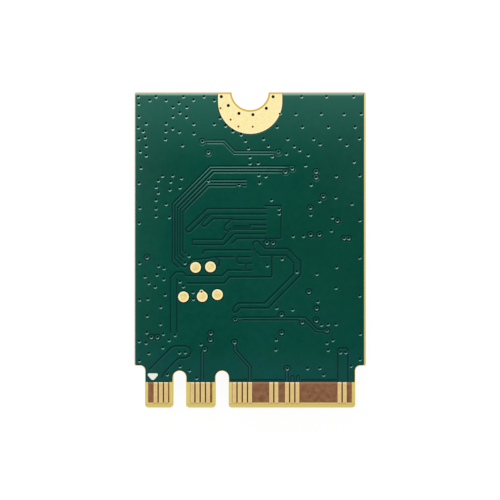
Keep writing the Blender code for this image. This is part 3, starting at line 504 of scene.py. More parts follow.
class Finish(Graph):
    """A Principled material whose patterns read the object's own place, in millimetres."""

    def __init__(self, name, roughness, metallic=0.0, **constants):
        self.material = bpy.data.materials.new(name)
        super().__init__(self.material)
        self.shader = self.tree.nodes["Principled BSDF"]
        self.join(self.shader, {"Roughness": roughness, "Metallic": metallic})
        self.join(self.shader, {words.replace("_", " "): value for words, value in constants.items()})
        place = self.node("ShaderNodeTexCoord", {}, {}, "Object")
        self.place = self.node("ShaderNodeMapping", {}, {"Vector": place, "Scale": (1 / MM,) * 3})

    def axes(self):
        split = self.node("ShaderNodeSeparateXYZ", {}, {0: self.place})
        return [Shade(self, socket) for socket in split.socket.node.outputs]

    def attribute(self, name):
        """An amount that the mesh carries on its points."""
        return self.node("ShaderNodeAttribute", {"attribute_name": name}, {}, "Fac")

    def facing(self, way):
        """How far the surface leans towards a level direction, 0 where it is level."""
        normal = self.node("ShaderNodeNewGeometry", {}, {}, "True Normal")
        return self.node("ShaderNodeVectorMath", {"operation": "DOT_PRODUCT"}, {0: normal, 1: way}, "Value")

    def noise(self, size, detail, stretch=(1, 1, 1)):
        """Mottle whose blotches are about this many millimetres across."""
        scale = tuple(amount / size for amount in stretch)
        place = self.node("ShaderNodeMapping", {}, {"Vector": self.place, "Scale": scale})
        return self.node("ShaderNodeTexNoise", {}, {"Vector": place, "Scale": 1.0, "Detail": detail})

    def mix(self, amount, first, second):
        """Colour between two colours."""
        first, second = (item if isinstance(item, Shade) else (*item, 1.0) for item in (first, second))
        return self.node("ShaderNodeMix", {"data_type": "RGBA"}, {0: amount, 6: first, 7: second}, 2)

    def feed(self, socket, shade):
        self.join(self.shader, {socket: shade})

    def bump(self, height, depth):
        """Fine relief, its height from 0 to 1 and its depth in millimetres."""
        inputs = {"Height": height, "Distance": depth * MM, "Strength": 1.0}
        self.feed("Normal", self.node("ShaderNodeBump", {}, inputs))


def box_mm(node):
    """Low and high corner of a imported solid, in millimetres."""
    return [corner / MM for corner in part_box(node)]


def from_photo(pixel):
    """Place on the card, in millimetres from its centre."""
    x = (pixel[0] - CARD_CENTRE_PIXEL[0]) / PIXELS_PER_MM
    y = (CARD_CENTRE_PIXEL[1] - pixel[1]) / PIXELS_PER_MM
    return Vector((x, y))


def path_from_photo(pixels):
    return [from_photo(pixel) for pixel in pixels]


def disc(centre, radius):
    turns = [math.tau * step / DISC_STEPS for step in range(DISC_STEPS)]
    return [centre + radius * Vector((math.cos(turn), math.sin(turn))) for turn in turns]


def band(path, half):
    """Outline of a band along a path, with mitred corners and round ends."""
    ways = [(b - a).normalized() for a, b in zip(path, path[1:])]
    left = []
    right = []
    for index, point in enumerate(path):
        before = ways[max(index - 1, 0)]
        after = ways[min(index, len(ways) - 1)]
        middle = (before + after).normalized()
        side = Vector((-middle.y, middle.x)) * half / middle.dot(after)
        left.append(point + side)
        right.append(point - side)
    return left + round_end(path[-1], ways[-1], half) + right[::-1] + round_end(path[0], -ways[0], half)


def round_end(centre, way, half):
    """Points between the two corners of a round end, turning clockwise."""
    side = Vector((-way.y, way.x))
    turns = [math.pi * step / CAP_STEPS for step in range(1, CAP_STEPS)]
    return [centre + half * (side * math.cos(turn) + way * math.sin(turn)) for turn in turns]


def runs_anticlockwise(loop):
    return sum(before.cross(after) for before, after in zip(loop, loop[1:] + loop[:1])) > 0


def inset(loop, distance):
    """A closed outline moved to its left, which is inwards where it runs anticlockwise."""
    moved = []
    for index, point in enumerate(loop):
        before = (point - loop[index - 1]).normalized()
        after = (loop[(index + 1) % len(loop)] - point).normalized()
        middle = (before + after).normalized()
        side = Vector((-middle.y, middle.x))
        moved.append(point + side * distance / max(middle.dot(after), LEAST_MITRE))
    return moved


def in_short_steps(loop):
    """A closed outline with points added on its long straight sides."""
    stepped = []
    for point, after in zip(loop, loop[1:] + loop[:1]):
        steps = max(1, math.ceil((after - point).length / OUTLINE_STEP))
        stepped += [point.lerp(after, step / steps) for step in range(steps)]
    return stepped


def merged_copy(node):
    """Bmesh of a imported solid, with its loose triangles joined, in millimetres."""
    bm = bmesh.new()
    bm.from_mesh(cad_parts[node].data)
    bmesh.ops.scale(bm, vec=(1 / MM,) * 3, verts=bm.verts)
    bmesh.ops.remove_doubles(bm, verts=bm.verts, dist=TINY)
    return bm


def outlines_of_top(node):
    """The closed outlines of a flat solid's upper face, with material on their left."""
    bm = merged_copy(node)
    top = max(vert.co.z for vert in bm.verts) - TINY
    after = {}
    for face in bm.faces:
        if min(vert.co.z for vert in face.verts) < top:
            continue
        for loop in face.loops:
            other = loop.link_loop_radial_next.face
            if min(vert.co.z for vert in other.verts) < top:
                after[loop.vert.index] = loop.link_loop_next.vert.index
    bm.verts.ensure_lookup_table()
    loops = []
    while after:
        loop = []
        index = next(iter(after))
        while index in after:
            loop.append(bm.verts[index].co.xy.copy())
            index = after.pop(index)
        loops.append(loop)
    bm.free()
    return sorted(loops, key=len, reverse=True)


def as_piece(name, bm, finish):
    """A finished bmesh, in millimetres, as an object that rides on the card."""
    bmesh.ops.scale(bm, vec=(MM,) * 3, verts=bm.verts)
    mesh = bpy.data.meshes.new(name)
    bm.to_mesh(mesh)
    bm.free()
    piece = bpy.data.objects.new(name, mesh)
    bpy.context.scene.collection.objects.link(piece)
    mesh.materials.append(finish.material)
    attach(piece, "root")
    return piece


class Relief:
    """Outlines in a flat sheet. Their kinds say how deep the sheet lies inside them."""

    def __init__(self):
        self.points = []
        self.outlines = []
        self.kinds = []

    def add(self, kind, outline):
        first = len(self.points)
        outline = in_short_steps(outline)
        self.points += outline if runs_anticlockwise(outline) else outline[::-1]
        self.outlines.append(list(range(first, len(self.points))))
        self.kinds.append(kind)

    def add_groove(self, path, half, wall):
        self.add("rim", band(path, half))
        self.add("groove", band(path, half - wall))

    def add_dimple(self, centre):
        for step, kind in enumerate(("rim", "bowl", "dimple")):
            self.add(kind, disc(centre + step * Vector(DIMPLE_LEAN), DIMPLE_RADII[step]))

    def add_pad(self, centre):
        """Round copper land in a round gap."""
        self.add("halo", disc(centre, VIA_PAD + TRACK_GAP))
        self.add("groove", disc(centre, VIA_PAD + TRACK_GAP - GROOVE_WALL))
        self.add("island", disc(centre, VIA_PAD + GROOVE_WALL))
        self.add("rim", disc(centre, VIA_PAD))

    def add_track(self, path):
        """Copper track with a gap on both sides."""
        self.add("rim", band(path, TRACK_HALF + TRACK_GAP))
        self.add("groove", band(path, TRACK_HALF + TRACK_GAP - GROOVE_WALL))
        self.add("island", band(path, TRACK_HALF + GROOVE_WALL))
        self.add("rim", band(path, TRACK_HALF))

    def depth(self, kinds):
        if "dimple" in kinds:
            return DIMPLE_DEPTH
        if "bowl" in kinds:
            return BOWL_DEPTH
        if "groove" in kinds and "island" not in kinds:
            return GROOVE_DEPTH
        return 0.0

    def marks(self, kinds):
        """What the finish reads on the points: 1 in a via's mouth and a half in its bowl."""
        via = 1.0 if "dimple" in kinds else 0.5 if "bowl" in kinds else 0.0
        return {"via": via, "track": float("island" in kinds), "ring": float("halo" in kinds)}

    def sheet(self, top):
        """Bmesh of the sheet's upper side."""
        done = delaunay_2d_cdt(self.points, [], self.outlines, 1, TINY / 10, True)
        places, faces, origins = done[0], done[2], done[5]
        depths = [0.0] * len(places)
        amounts = {name: [0.0] * len(places) for name in self.marks(())}
        kept = []
        for face, sources in zip(faces, origins):
            kinds = {self.kinds[source] for source in sources}
            if "sheet" not in kinds or "opening" in kinds:
                continue
            kept.append(face)
            marks = self.marks(kinds)
            for index in face:
                depths[index] = max(depths[index], self.depth(kinds))
                for name, amount in marks.items():
                    amounts[name][index] = max(amounts[name][index], amount)
        bm = bmesh.new()
        layers = {name: bm.verts.layers.float.new(name) for name in amounts}
        verts = [bm.verts.new((*place, top - depth)) for place, depth in zip(places, depths)]
        for name, layer in layers.items():
            for vert, amount in zip(verts, amounts[name]):
                vert[layer] = amount
        for face in kept:
            bm.faces.new([verts[index] for index in face])
        loose = [vert for vert in bm.verts if not vert.link_faces]
        bmesh.ops.delete(bm, geom=loose, context="VERTS")
        return bm


def add_mask_outlines(relief, low, high):
    """The mask's own outline, trimmed at three sides, and its openings, which lap onto the gold."""
    outer, *openings = outlines_of_top("back_solder_mask")
    left = low.x + SIDE_TRIM
    right = high.x - SIDE_TRIM
    outer = [Vector((min(max(x, left), right), min(y, high.y - TOP_TRIM))) for x, y in outer]
    relief.add("sheet", outer)
    relief.add("rim", inset(outer, RIM_WIDTH))
    for opening in openings:
        opening = inset(opening, -LAND_LAP)
        relief.add("opening", opening)
        relief.add("rim", inset(opening, LIP_WIDTH))


def add_copper(relief):
    """Tracks, gaps in the copper, and vias."""
    for pixels in TRACKS:
        path = path_from_photo(pixels)
        relief.add_track(path)
        relief.add_pad(path[0])
    far_ends = (TRACKS[0][-1], TRACKS[1][-1])
    for pixel in (*far_ends, *BUNDLE_VIAS[:2]):
        relief.add_pad(from_photo(pixel))
    for pixels in TRACKS_FROM_CONTACTS:
        relief.add_track(path_from_photo(pixels))
    for pixels in GROOVES:
        relief.add_groove(path_from_photo(pixels), GROOVE_HALF, GROOVE_WALL)
    for pixels in BARE_GAPS:
        relief.add_groove(path_from_photo(pixels), BARE_HALF, BARE_WALL)
    for pixels in EDGE_GAPS:
        relief.add_groove(path_from_photo(pixels), EDGE_GAP_HALF, BARE_WALL)
    for pixel in RINGED_VIAS:
        relief.add_pad(from_photo(pixel))
    near_ends = [pixels[0] for pixels in TRACKS]
    for pixel in (*SMALL_VIAS, *RINGED_VIAS, *BUNDLE_VIAS, *near_ends, *far_ends):
        relief.add_dimple(from_photo(pixel))


def lower_rim(bm, low, high, top):
    """Round the mask over at its edges, and mark the ones that get a dark lip of painted shade. Gives the
    rim.
    """
    at_lip = bm.verts.layers.float.new("lip")
    lands = [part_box(node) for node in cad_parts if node.startswith("test_pad")]
    rim = [edge for edge in bm.edges if edge.is_boundary]
    for vert in {vert for edge in rim for vert in edge.verts}:
        place = vert.co * MM
        at_land = any(a.x < place.x < b.x and a.y < place.y < b.y for a, b in lands)
        at_top = vert.co.y > high.y - TOP_TRIM - TINY
        at_left = vert.co.x < low.x + SIDE_TRIM + TINY
        vert[at_lip] = float(not at_top and not at_left)
        vert.co.z = top - (LIP_DROP if at_land else RIM_DROP)
    return rim


def make_mask_relief(finish):
    """The back solder mask, with its grooves and dimples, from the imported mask's outlines."""
    low, high = box_mm("back_solder_mask")
    top = high.z - PRINT_THICKNESS
    relief = Relief()
    add_mask_outlines(relief, low, high)
    add_copper(relief)
    bm = relief.sheet(top)
    rim = lower_rim(bm, low, high, top)
    walls = bmesh.ops.extrude_edge_only(bm, edges=rim)["geom"]
    for vert in walls:
        if isinstance(vert, bmesh.types.BMVert):
            vert.co.z = low.z
    foot = [edge for edge in bm.edges if edge.is_boundary]
    bmesh.ops.triangle_fill(bm, edges=foot, use_beauty=True, use_dissolve=False)
    bmesh.ops.recalc_face_normals(bm, faces=bm.faces)
    piece = as_piece("solder_mask_relief", bm, finish)
    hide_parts("back_solder_mask")


def mask_green(finish, x, y, left_end, top):
    """Green of the flat mask: bluer at the lower left, lighter at its left border and lower end, and with
    painted light towards its upper end.
    """
    mottle = (finish.noise(5.0, 2.0) * 0.5 + finish.noise(0.5, 3.0) * 0.5).ramp(*CRISP)
    deep = finish.mix(mottle, *MASK_GREENS)
    bluish = finish.mix(mottle, *MASK_BLUISH_GREENS)
    plain = finish.mix((-y - x * 0.5).ramp(*TO_LOWER_LEFT), deep, bluish)
    border = 1 - (x - left_end).ramp(*LEFT_BORDER)
    bordered = finish.mix(border * 0.2, plain, LEFT_BORDER_GREEN)
    stains = finish.noise(2.2, 2.0).ramp(*STAINS) * (-y).ramp(*STAINED_END)
    tide = stains * 0.5 + (-y).ramp(*LOWER_END) * 0.3
    tidal = finish.mix(tide, bordered, LOWER_END_GREEN)
    # Painted light, lighter towards the upper end
    return finish.mix(top * 0.3, tidal, UPPER_END_LIT_GREEN)


def mask_grooves(finish, green, depth, lean, above):
    """The green over tracks and in grooves: a pale rim, a dark floor that is partly its darker green over
    bare board and partly painted shade, painted light on one wall and painted shade on the other.
    """
    track = finish.attribute("track")
    ring = finish.attribute("ring")
    over_copper = finish.mix(track * (0.18 + above * 0.14), green, TRACK_GREEN)
    rimmed = finish.mix(depth.plateau(*GROOVE_RIM_BAND) * 0.5, over_copper, GROOVE_RIM_GREEN)
    floor = (depth + (1 - above) * LOWER_FLOOR_RISE).ramp(*GROOVE_FLOOR)
    # Floor greens: partly the darker green over bare board, partly painted shade
    floor_and_shade = finish.mix(above, *GROOVE_FLOOR_AND_SHADE_GREENS)
    gap = finish.mix(floor, rimmed, floor_and_shade)
    # Painted shade on walls that lean away from the light side
    shaded = finish.mix((-lean).ramp(*SHADED_LEAN), gap, floor_and_shade)
    strength = (0.2 + above * 0.65) * (1 - ring * 0.5) * (1 - track * 0.5) * (1 - floor * (1 - above))
    # Painted light on walls that lean towards the light side, stronger towards the upper end
    return finish.mix(lean.ramp(*LIT_LEAN) * strength, shaded, LIT_WALL_GREEN)


def mask_haze(x, y, top_end, top):
    """Weight of the coat that mirrors the white room: most at the mask's upper end and sides."""
    near_top = (y - top_end).ramp(*HAZY_UPPER_EDGE) * 0.11
    sides = abs(x).ramp(*HAZY_SIDES) * y.ramp(*HAZY_SIDES_RISE) * (1 - top) * 0.16
    left = (-x).ramp(*HAZY_LEFT) * 0.11
    lower = (-y).ramp(*HAZY_LOWER_END) * 0.08
    return top * (top * 0.26 + 0.14) + near_top + (sides + left) + lower


def mask_finish():
    """Glossy green coat, dark in the gaps of the copper, partly with painted shade. Its vias have a painted
    glint and a dark mouth of painted shade.
    """
    finish = Finish(
        "green_solder_mask",
        MASK_ROUGHNESS,
        Specular_IOR_Level=0.17,
        Specular_Tint=MASK_SHEEN,
        Coat_Roughness=0.3,
    )
    x, y, z = finish.axes()
    low, high = box_mm("back_solder_mask")
    depth = high.z - PRINT_THICKNESS - z
    # How far the surface leans towards the side whose painted light it gets
    lean = finish.facing(LIT_SIDE)
    above = y.ramp(*ABOVE_MIDDLE)
    top = y.ramp(*UPPER_END)
    via = finish.attribute("via")
    near_via = via.ramp(*VIA_GLAZE_BAND[0])
    mouth = via.ramp(*VIA_MOUTH_EDGE)
    green = mask_green(finish, x, y, low.x, top)
    grooved = mask_grooves(finish, green, depth, lean, above)
    level = finish.mix(via.ramp(*VIA_BORDER), grooved, green)
    # Painted shade on bowl walls leaning away from the light side, painted glints on those leaning towards
    # it, brighter towards the upper end
    bowl = finish.mix(lean.ramp(*GLINT_LEAN), VIA_SHADE_GREEN, finish.mix(above, *VIA_GLINTS))
    dimpled = finish.mix(via.ramp(*VIA_BOWL), level, bowl)
    # Painted highlight along the mask's upper edge
    edged = finish.mix((y - high.y).ramp(*UPPER_EDGE), dimpled, UPPER_EDGE_GLINT_GREEN)
    # Painted shade along the lip at the mask's openings and its right and lower edges
    lipped = finish.mix(finish.attribute("lip").ramp(*LIP_SPREAD), edged, LIP_SHADE_GREEN)
    # Dark mouths of the vias, painted shade
    finish.feed("Base Color", finish.mix(mouth, lipped, VIA_MOUTH_SHADE_GREEN))
    finish.feed("Metallic", mouth)
    walls = depth.plateau(*GROOVE_WALL_BAND) * (1 - near_via)
    finish.feed("Roughness", MASK_ROUGHNESS + walls * 0.5)
    glaze = via.plateau(*VIA_GLAZE_BAND) * 0.4
    finish.feed("Coat Weight", mask_haze(x, y, high.y, top) * (1 - mouth) + glaze)
    finish.bump(finish.noise(0.25, 2.0), 0.0006)
    return finish


def front_mask_finish():
    """Glossy green coat of the component side."""
    finish = Finish("front_green_mask", 0.3, Specular_IOR_Level=0.3)
    mottle = finish.noise(4.0, 2.0) * 0.6 + finish.noise(0.4, 3.0) * 0.4
    finish.feed("Base Color", finish.mix(mottle.ramp(*CRISP), *FRONT_MASK_GREENS))
    finish.bump(finish.noise(0.25, 2.0), 0.002)
    return finish


def gold_finish(name, gold, roughness):
    """Plated gold with a fine sandy surface."""
    finish = Finish(name, roughness, 1.0)
    darker = tuple(channel * 0.9 for channel in gold)
    finish.feed("Base Color", finish.mix(finish.noise(GOLD_GRAIN * 3, 3.0).ramp(*CRISP), darker, gold))
    finish.bump(finish.noise(GOLD_GRAIN, 2.0), GOLD_BUMP)
    return finish


def finger_finish():
    """Gold of the contacts: pale lines along their sides, a painted highlight at their ends by the mask,
    and painted shade at their very edges.
    """
    finish = Finish("finger_gold", GOLD_ROUGHNESS, 1.0)
    x, y = finish.axes()[:2]
    mask_end = box_mm("back_contact_02")[1].y
    across = abs((x / CONTACT_PITCH + 0.5).fraction() - 0.5) * CONTACT_PITCH
    gold = finish.mix(finish.noise(0.3, 3.0).ramp(*SOFT), *CONTACT_GOLDS)
    lined = finish.mix(across.plateau(*CONTACT_LINE_BAND) * 0.6, gold, CONTACT_LINE_GOLD)
    # Painted highlight at the contacts' ends by the mask
    ended = finish.mix((y - mask_end).ramp(*CONTACT_PALE_END) * 0.65, lined, CONTACT_END_GLINT_GOLD)
    # Painted shade at the contacts' very edges
    finish.feed("Base Color", finish.mix(across.ramp(*CONTACT_CUT_EDGE) * 0.75, ended, CONTACT_EDGE_SHADE_GOLD))
    finish.bump(finish.noise(0.08, 2.0), GOLD_BUMP)
    return finish


def pad_finish(node):
    """Gold of a test pad, duller and mottled inside its pale rim."""
    finish = Finish(node + "_gold", GOLD_ROUGHNESS, 1.0)
    x, y = finish.axes()[:2]
    low, high = box_mm(node)
    centre = (low + high) / 2
    reach = ((x - centre.x) * (x - centre.x) + (y - centre.y) * (y - centre.y)).root()
    inside = finish.mix(finish.noise(0.3, 3.0).ramp(*CRISP), *PAD_GOLDS)
    finish.feed("Base Color", finish.mix(reach.ramp(*PAD_PALE_RIM), inside, PAD_RIM_GOLD))
    finish.bump(finish.noise(0.08, 2.0), GOLD_BUMP)
    return finish


def squares(radius, distances):
    """Squares of the reaches that lie these distances outside a radius."""
    return [(radius + distance) ** 2 for distance in distances]


def ring_finish():
    """Pale gold land, deeper in tone on the plated wall and along the cut edges."""
    finish = Finish("half_moon_gold", 0.27, 1.0)
    x, y = finish.axes()[:2]
    down = box_mm("mounting_ring")[1].y - y
    from_notch = x * x + (down + NOTCH_LIFT) * (down + NOTCH_LIFT)
    below = (down - LAND_CENTRE_DOWN).at_least(0)
    from_centre = x * x + below * below
    pale = finish.mix(finish.noise(0.12, 3.0).ramp(*SOFT), *LAND_GOLDS)
    border = from_centre.ramp(*squares(LAND_RADIUS, LAND_BORDER))
    beside_notch = from_notch.plateau(*(squares(NOTCH_RADIUS, pair) for pair in NOTCH_BAND))
    light = finish.mix((border * 0.6 + beside_notch * 0.5).clamped(), pale, LAND_BORDER_GOLD)
    at_notch = 1 - from_notch.ramp(*squares(NOTCH_RADIUS, NOTCH_WALL))
    at_top = 1 - down.ramp(*LAND_TOP_WALL)
    finish.feed("Base Color", finish.mix((at_notch + at_top).clamped(), light, LAND_WALL_GOLD))
    finish.bump(finish.noise(GOLD_GRAIN, 2.0), GOLD_BUMP)
    return finish


def contact_groups():
    """Where the rows of neighbouring contacts start and end."""
    boxes = [box_mm(node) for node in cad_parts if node.startswith("back_contact")]
    groups = []
    for start, end in sorted((low.x, high.x) for low, high in boxes):
        if groups and start - groups[-1][1] < CONTACT_PITCH:
            groups[-1][1] = end
        else:
            groups.append([start, end])
    return groups


def within(x, spans):
    """One inside any of these spans, else nought."""
    return sum((x > start) * (x < end) for start, end in spans)


def inner_copper(finish, x, y, mask_end):
    """Brown of the copper plane in the bare tongue, with painted shade between the contacts."""
    brown = finish.mix(finish.noise(0.45, 4.0).ramp(*SOFT), *PLANE_BROWNS)
    # Painted shade between the contacts
    shaded = finish.mix(within(x, contact_groups()) * 0.85, brown, SHADE_BETWEEN_CONTACTS_BROWN)
    return finish.mix((y - mask_end).ramp(*PALE_PLANE_END), shaded, NEAR_MASK_BROWN)


def laminate_finish():
    """Yellow glass-fibre board, with brown inner copper under the bare tongue."""
    finish = Finish("bare_laminate", 0.5, Specular_IOR_Level=0.1)
    x, y, z = finish.axes()
    low = box_mm("circuit_board")[0]
    mask_low, mask_high = box_mm("back_solder_mask")
    upper = z > mask_low.z - UPPER_LAYER
    yellow = finish.mix(finish.noise(0.5, 3.0, (1, 1, 6)), *LAMINATE_YELLOWS)
    # Painted light on the bevel at the tongue's end, which faces away from the lamp
    bevel = 1 - (y - low.y).ramp(*BEVEL_TOP)
    bevelled = finish.mix(bevel * 0.9, yellow, BEVEL_LIT_YELLOW)
    right = (x > mask_high.x) * (y > mask_low.y)
    worn = finish.mix(right, bevelled, RIGHT_MARGIN_YELLOW)
    left = (x < mask_low.x) * (y > mask_low.y) * upper
    sawn = finish.mix(left, worn, LEFT_MARGIN_GREY)
    top = (y > mask_high.y - TOP_TRIM) * upper
    routed = finish.mix(top, sawn, TOP_MARGIN_BROWN)
    plane = within(x, PLANE_SPANS) * (y > low.y + PLANE_START) * (y < mask_low.y)
    board = finish.mix(plane, routed, inner_copper(finish, x, y, mask_low.y))
    front_contact = z < low.z + FRONT_CONTACT_RISE
    finish.feed("Base Color", finish.mix(front_contact, board, FRONT_CONTACT_GOLD))
    finish.feed("Metallic", front_contact)
    finish.bump(finish.noise(0.15, 3.0), 0.004)
    return finish


def plain_finish(name, first, second, roughness, **constants):
    finish = Finish(name, roughness, **constants)
    finish.feed("Base Color", finish.mix(finish.noise(0.6, 3.0), first, second))
    finish.bump(finish.noise(0.3, 3.0), 0.003)
    return finish


def capped_finish(node, first, second, roughness, cap_share):
    """Body of a small part, with tinned caps on both ends of its long axis."""
    finish = Finish(node + "_looks", roughness)
    x, y = finish.axes()[:2]
    low, high = box_mm(node)
    size = high - low
    along, start, length = (x, low.x, size.x) if size.x > size.y else (y, low.y, size.y)
    from_middle = abs((along - start) / length - 0.5)
    cap_edge = 0.5 - cap_share
    cap = from_middle.ramp(cap_edge - 0.01, cap_edge + 0.01)
    body = finish.mix(finish.noise(0.3, 3.0).ramp(*CRISP), first, second)
    tin = finish.mix(finish.noise(0.15, 3.0).ramp(*SOFT), *CAP_TINS)
    finish.feed("Base Color", finish.mix(cap, body, tin))
    finish.feed("Metallic", cap)
    finish.bump(finish.noise(0.12, 3.0), 0.003)
    return finish


def crystal_finish():
    """White ceramic base under a welded metal lid."""
    finish = Finish("crystal_looks", 0.35)
    rise = finish.axes()[2] - box_mm("crystal")[0].z
    lid = 1 - rise.ramp(*CRYSTAL_LID_EDGE)
    base = finish.mix(finish.noise(0.3, 3.0), *CRYSTAL_BASES)
    metal = finish.mix(finish.noise(0.6, 3.0), *CRYSTAL_LIDS)
    finish.feed("Base Color", finish.mix(lid, base, metal))
    finish.feed("Metallic", lid)
    finish.bump(finish.noise(0.2, 3.0), 0.002)
    return finish


def sheet_finish(name, stretch):
    """Tinned sheet with the fine lines of rolling along one axis."""
    finish = Finish(name, 0.3, 1.0)
    lines = finish.noise(0.35, 3.0, stretch)
    cloud = finish.noise(3.0, 2.0)
    finish.feed("Base Color", finish.mix((lines * 0.6 + cloud * 0.4).ramp(*SOFT), *SHIELD_TINS))
    finish.feed("Roughness", 0.24 + lines * 0.16)
    finish.bump(lines, 0.002)
    return finish


def dress(node, finish):
    """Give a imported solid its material."""
    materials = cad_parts[node].data.materials
    materials.clear()
    materials.append(finish.material)


def ease_edges(node, width):
    """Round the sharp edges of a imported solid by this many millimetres."""
    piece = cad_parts[node]
    weld = piece.modifiers.new("joined", "WELD")
    weld.merge_threshold = TINY * MM
    bevel = piece.modifiers.new("eased", "BEVEL")
    bevel.width = width * MM
    bevel.segments = EASE_STEPS
    bevel.limit_method = "ANGLE"
    bevel.angle_limit = math.radians(EASE_ANGLE)


def make_print_mark(finish):
    """White printed triangle that points to the first contact, with round corners."""
    top = box_mm("back_solder_mask")[1].z
    bm = bmesh.new()
    verts = [bm.verts.new((*corner, top)) for corner in reversed(path_from_photo(PRINT_CORNERS))]
    bm.faces.new(verts)
    bmesh.ops.bevel(
        bm,
        geom=list(bm.verts),
        offset=PRINT_ROUNDING,
        segments=PRINT_STEPS,
        profile=0.5,
        affect="VERTICES",
        material=-1,
    )
    raised = bmesh.ops.extrude_face_region(bm, geom=bm.faces[:])["geom"]
    verts = [item for item in raised if isinstance(item, bmesh.types.BMVert)]
    bmesh.ops.translate(bm, vec=(0, 0, TINY - PRINT_THICKNESS), verts=verts)
    bmesh.ops.recalc_face_normals(bm, faces=bm.faces)
    as_piece("pin_one_mark", bm, finish)


def make_dots(name, pixels, radius, height, finish):
    """Round marks a hair above the gold, such as the dark mouths of vias, which are painted shade."""
    bm = bmesh.new()
    for pixel in pixels:
        bmesh.ops.create_cone(
            bm,
            cap_ends=True,
            segments=DOT_STEPS,
            radius1=radius,
            radius2=radius,
            depth=DOT_THICKNESS,
            matrix=Matrix.Translation((*from_photo(pixel), height)),
        )
    as_piece(name, bm, finish)


def dress_contact_side():
    make_mask_relief(mask_finish())
    dress("circuit_board", laminate_finish())
    dress("mounting_ring", ring_finish())
    ease_edges("mounting_ring", LAND_EASE)
    fingers = finger_finish()
    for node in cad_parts:
        if node.startswith("back_contact"):
            dress(node, fingers)
            ease_edges(node, CONTACT_EASE)
        if node.startswith("test_pad"):
            dress(node, pad_finish(node))
            ease_edges(node, CONTACT_EASE)


def dress_component_side():
    dress("front_solder_mask", front_mask_finish())
    dress("shield_lid", sheet_finish("rolled_lid", (0.05, 1, 1)))
    dress("shield_frame", sheet_finish("rolled_frame", (1, 1, 0.2)))
    dress("crystal", crystal_finish())
    plastic = plain_finish("jack_plastic", (0.66, 0.62, 0.50), (0.74, 0.70, 0.58), 0.5)
    gilt = gold_finish("jack_gold", JACK_GOLD, 0.25)
    epoxy = plain_finish("package_epoxy", (0.018, 0.018, 0.02), (0.028, 0.028, 0.03), 0.5)
    ferrite = plain_finish("pressed_ferrite", (0.05, 0.05, 0.055), (0.07, 0.07, 0.075), 0.6)
    families = (
        ("_base", plastic),
        ("_shell", gilt),
        ("_pin", gilt),
        ("chip", epoxy),
        ("module", epoxy),
        ("inductor", ferrite),
    )
    capped = (
        ("filter", (0.66, 0.65, 0.61), (0.76, 0.75, 0.71), 0.45, 0.14),
        ("capacitor", (0.33, 0.20, 0.11), (0.42, 0.27, 0.15), 0.4, 0.24),
        ("resistor", (0.02, 0.02, 0.025), (0.04, 0.04, 0.045), 0.35, 0.2),
    )
    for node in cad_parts:
        for word, finish in families:
            if word in node:
                dress(node, finish)
        for word, first, second, roughness, cap_share in capped:
            if word in node:
                dress(node, capped_finish(node, first, second, roughness, cap_share))


def add_marks():
    """Via mouths on the gold and beside it, the near-black ones painted shade, the nub on one test pad, and
    the printed triangle.
    """
    over_land = box_mm("mounting_ring")[1].z + DOT_THICKNESS
    mask_top = box_mm("back_solder_mask")[1].z
    over_mask = mask_top - DOT_THICKNESS
    half = DOT_THICKNESS / 2
    matt = {"Specular_IOR_Level": 0.0}
    # Near-black dots of painted shade over the via holes
    dark = plain_finish("via_mouth", (0.002, 0.002, 0.002), (0.008, 0.007, 0.007), 0.6, **matt)
    rust = plain_finish("small_via_mouth", (0.13, 0.03, 0.0), (0.22, 0.06, 0.002), 0.6, **matt)
    rust_dark = plain_finish("nub_via_mouth", (0.05, 0.016, 0.002), (0.08, 0.03, 0.004), 0.6, **matt)
    nub_gold = gold_finish("nub_gold", PAD_RIM_GOLD, GOLD_ROUGHNESS)
    make_dots("land_vias", LAND_VIAS, LAND_VIA_RADIUS, over_land, dark)
    make_dots("small_land_vias", SMALL_LAND_VIAS, SMALL_LAND_VIA_RADIUS, over_land, rust)
    make_dots("edge_vias", EDGE_VIAS, EDGE_VIA_RADIUS, over_mask, dark)
    make_dots("pad_nub", (PAD_NUB,), PAD_NUB_RADIUS, over_mask - half, nub_gold)
    make_dots("pad_nub_via", (PAD_NUB,), PAD_NUB_VIA_RADIUS, mask_top - half - TINY, rust_dark)
    make_print_mark(plain_finish("white_ink", (0.82, 0.84, 0.74), (0.88, 0.90, 0.80), 0.6))


def make_world():
    """White to the camera and in reflections, and a soft even light on everything else."""
    world = bpy.data.worlds.new("studio")
    bpy.context.scene.world = world
    graph = Graph(world)
    white = (1, 1, 1, 1)
    soft = graph.first_node("Background", {"Color": white, "Strength": AMBIENT})
    bright = graph.node("ShaderNodeBackground", {}, {"Color": white, "Strength": 1.0})
    seen = graph.seen_by("Is Camera Ray", "Is Glossy Ray", "Is Transmission Ray")
    graph.join(graph.tree.nodes["World Output"], {"Surface": graph.choose(seen, soft, bright)})


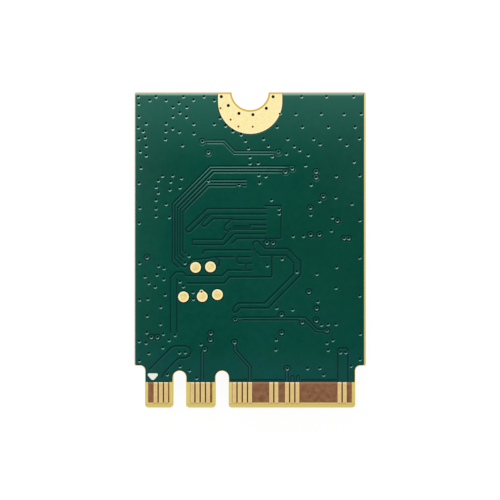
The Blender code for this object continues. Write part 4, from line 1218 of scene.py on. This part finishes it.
def make_floor():
    """Pale table: white to the camera, with a faint shadow."""
    bm = bmesh.new()
    bmesh.ops.create_grid(bm, x_segments=1, y_segments=1, size=FLOOR_HALF)
    mesh = bpy.data.meshes.new("table")
    bm.to_mesh(mesh)
    bm.free()
    floor = bpy.data.objects.new("table", mesh)
    bpy.context.scene.collection.objects.link(floor)
    material = bpy.data.materials.new("table_paper")
    mesh.materials.append(material)
    graph = Graph(material)
    matt = {"Base Color": FLOOR_GREY, "Roughness": 0.9, "Specular IOR Level": 0.0}
    paper = graph.first_node("Principled BSDF", matt)
    clear = graph.node("ShaderNodeEmission", {}, {"Strength": 0.0})
    glow = graph.node("ShaderNodeEmission", {}, {"Strength": FLOOR_GLOW})
    shadow = graph.choose(SHADOW_SHARE, clear, paper)
    white = graph.node("ShaderNodeAddShader", {}, {0: glow, 1: shadow})
    surface = graph.choose(graph.seen_by("Is Camera Ray"), paper, white)
    graph.join(graph.tree.nodes["Material Output"], {"Surface": surface})


def make_lamp():
    """One wide lamp beyond the notch. Gold and mask don't mirror it."""
    lamp = bpy.data.lights.new("key", "AREA")
    lamp.shape = "RECTANGLE"
    lamp.size = LAMP_LENGTH
    lamp.size_y = LAMP_DEPTH
    lamp.energy = LAMP_POWER
    item = bpy.data.objects.new("key", lamp)
    item.visible_glossy = False
    bpy.context.scene.collection.objects.link(item)
    card_top = Vector((0, 0, cad_box[1][2]))
    item.location = LAMP_PLACE
    item.rotation_euler = (card_top - Vector(LAMP_PLACE)).to_track_quat("-Z", "Y").to_euler()


def make_camera():
    """Straight above the card, as far off as the photograph's frame asks."""
    camera = bpy.data.cameras.new("camera")
    camera.lens = LENS
    camera.sensor_width = SENSOR
    camera.clip_start = CLIP_START
    item = bpy.data.objects.new("camera", camera)
    bpy.context.scene.collection.objects.link(item)
    middle = from_photo((PHOTO_PIXELS / 2, PHOTO_PIXELS / 2)) * MM
    width = PHOTO_PIXELS / PIXELS_PER_MM * MM
    item.location = (*middle, cad_box[1][2] + width * LENS / SENSOR)
    bpy.context.scene.camera = item


def make_studio():
    bpy.context.scene.view_settings.view_transform = "Standard"
    make_world()
    make_floor()
    make_lamp()
    make_camera()


dress_contact_side()
dress_component_side()
add_marks()
make_studio()
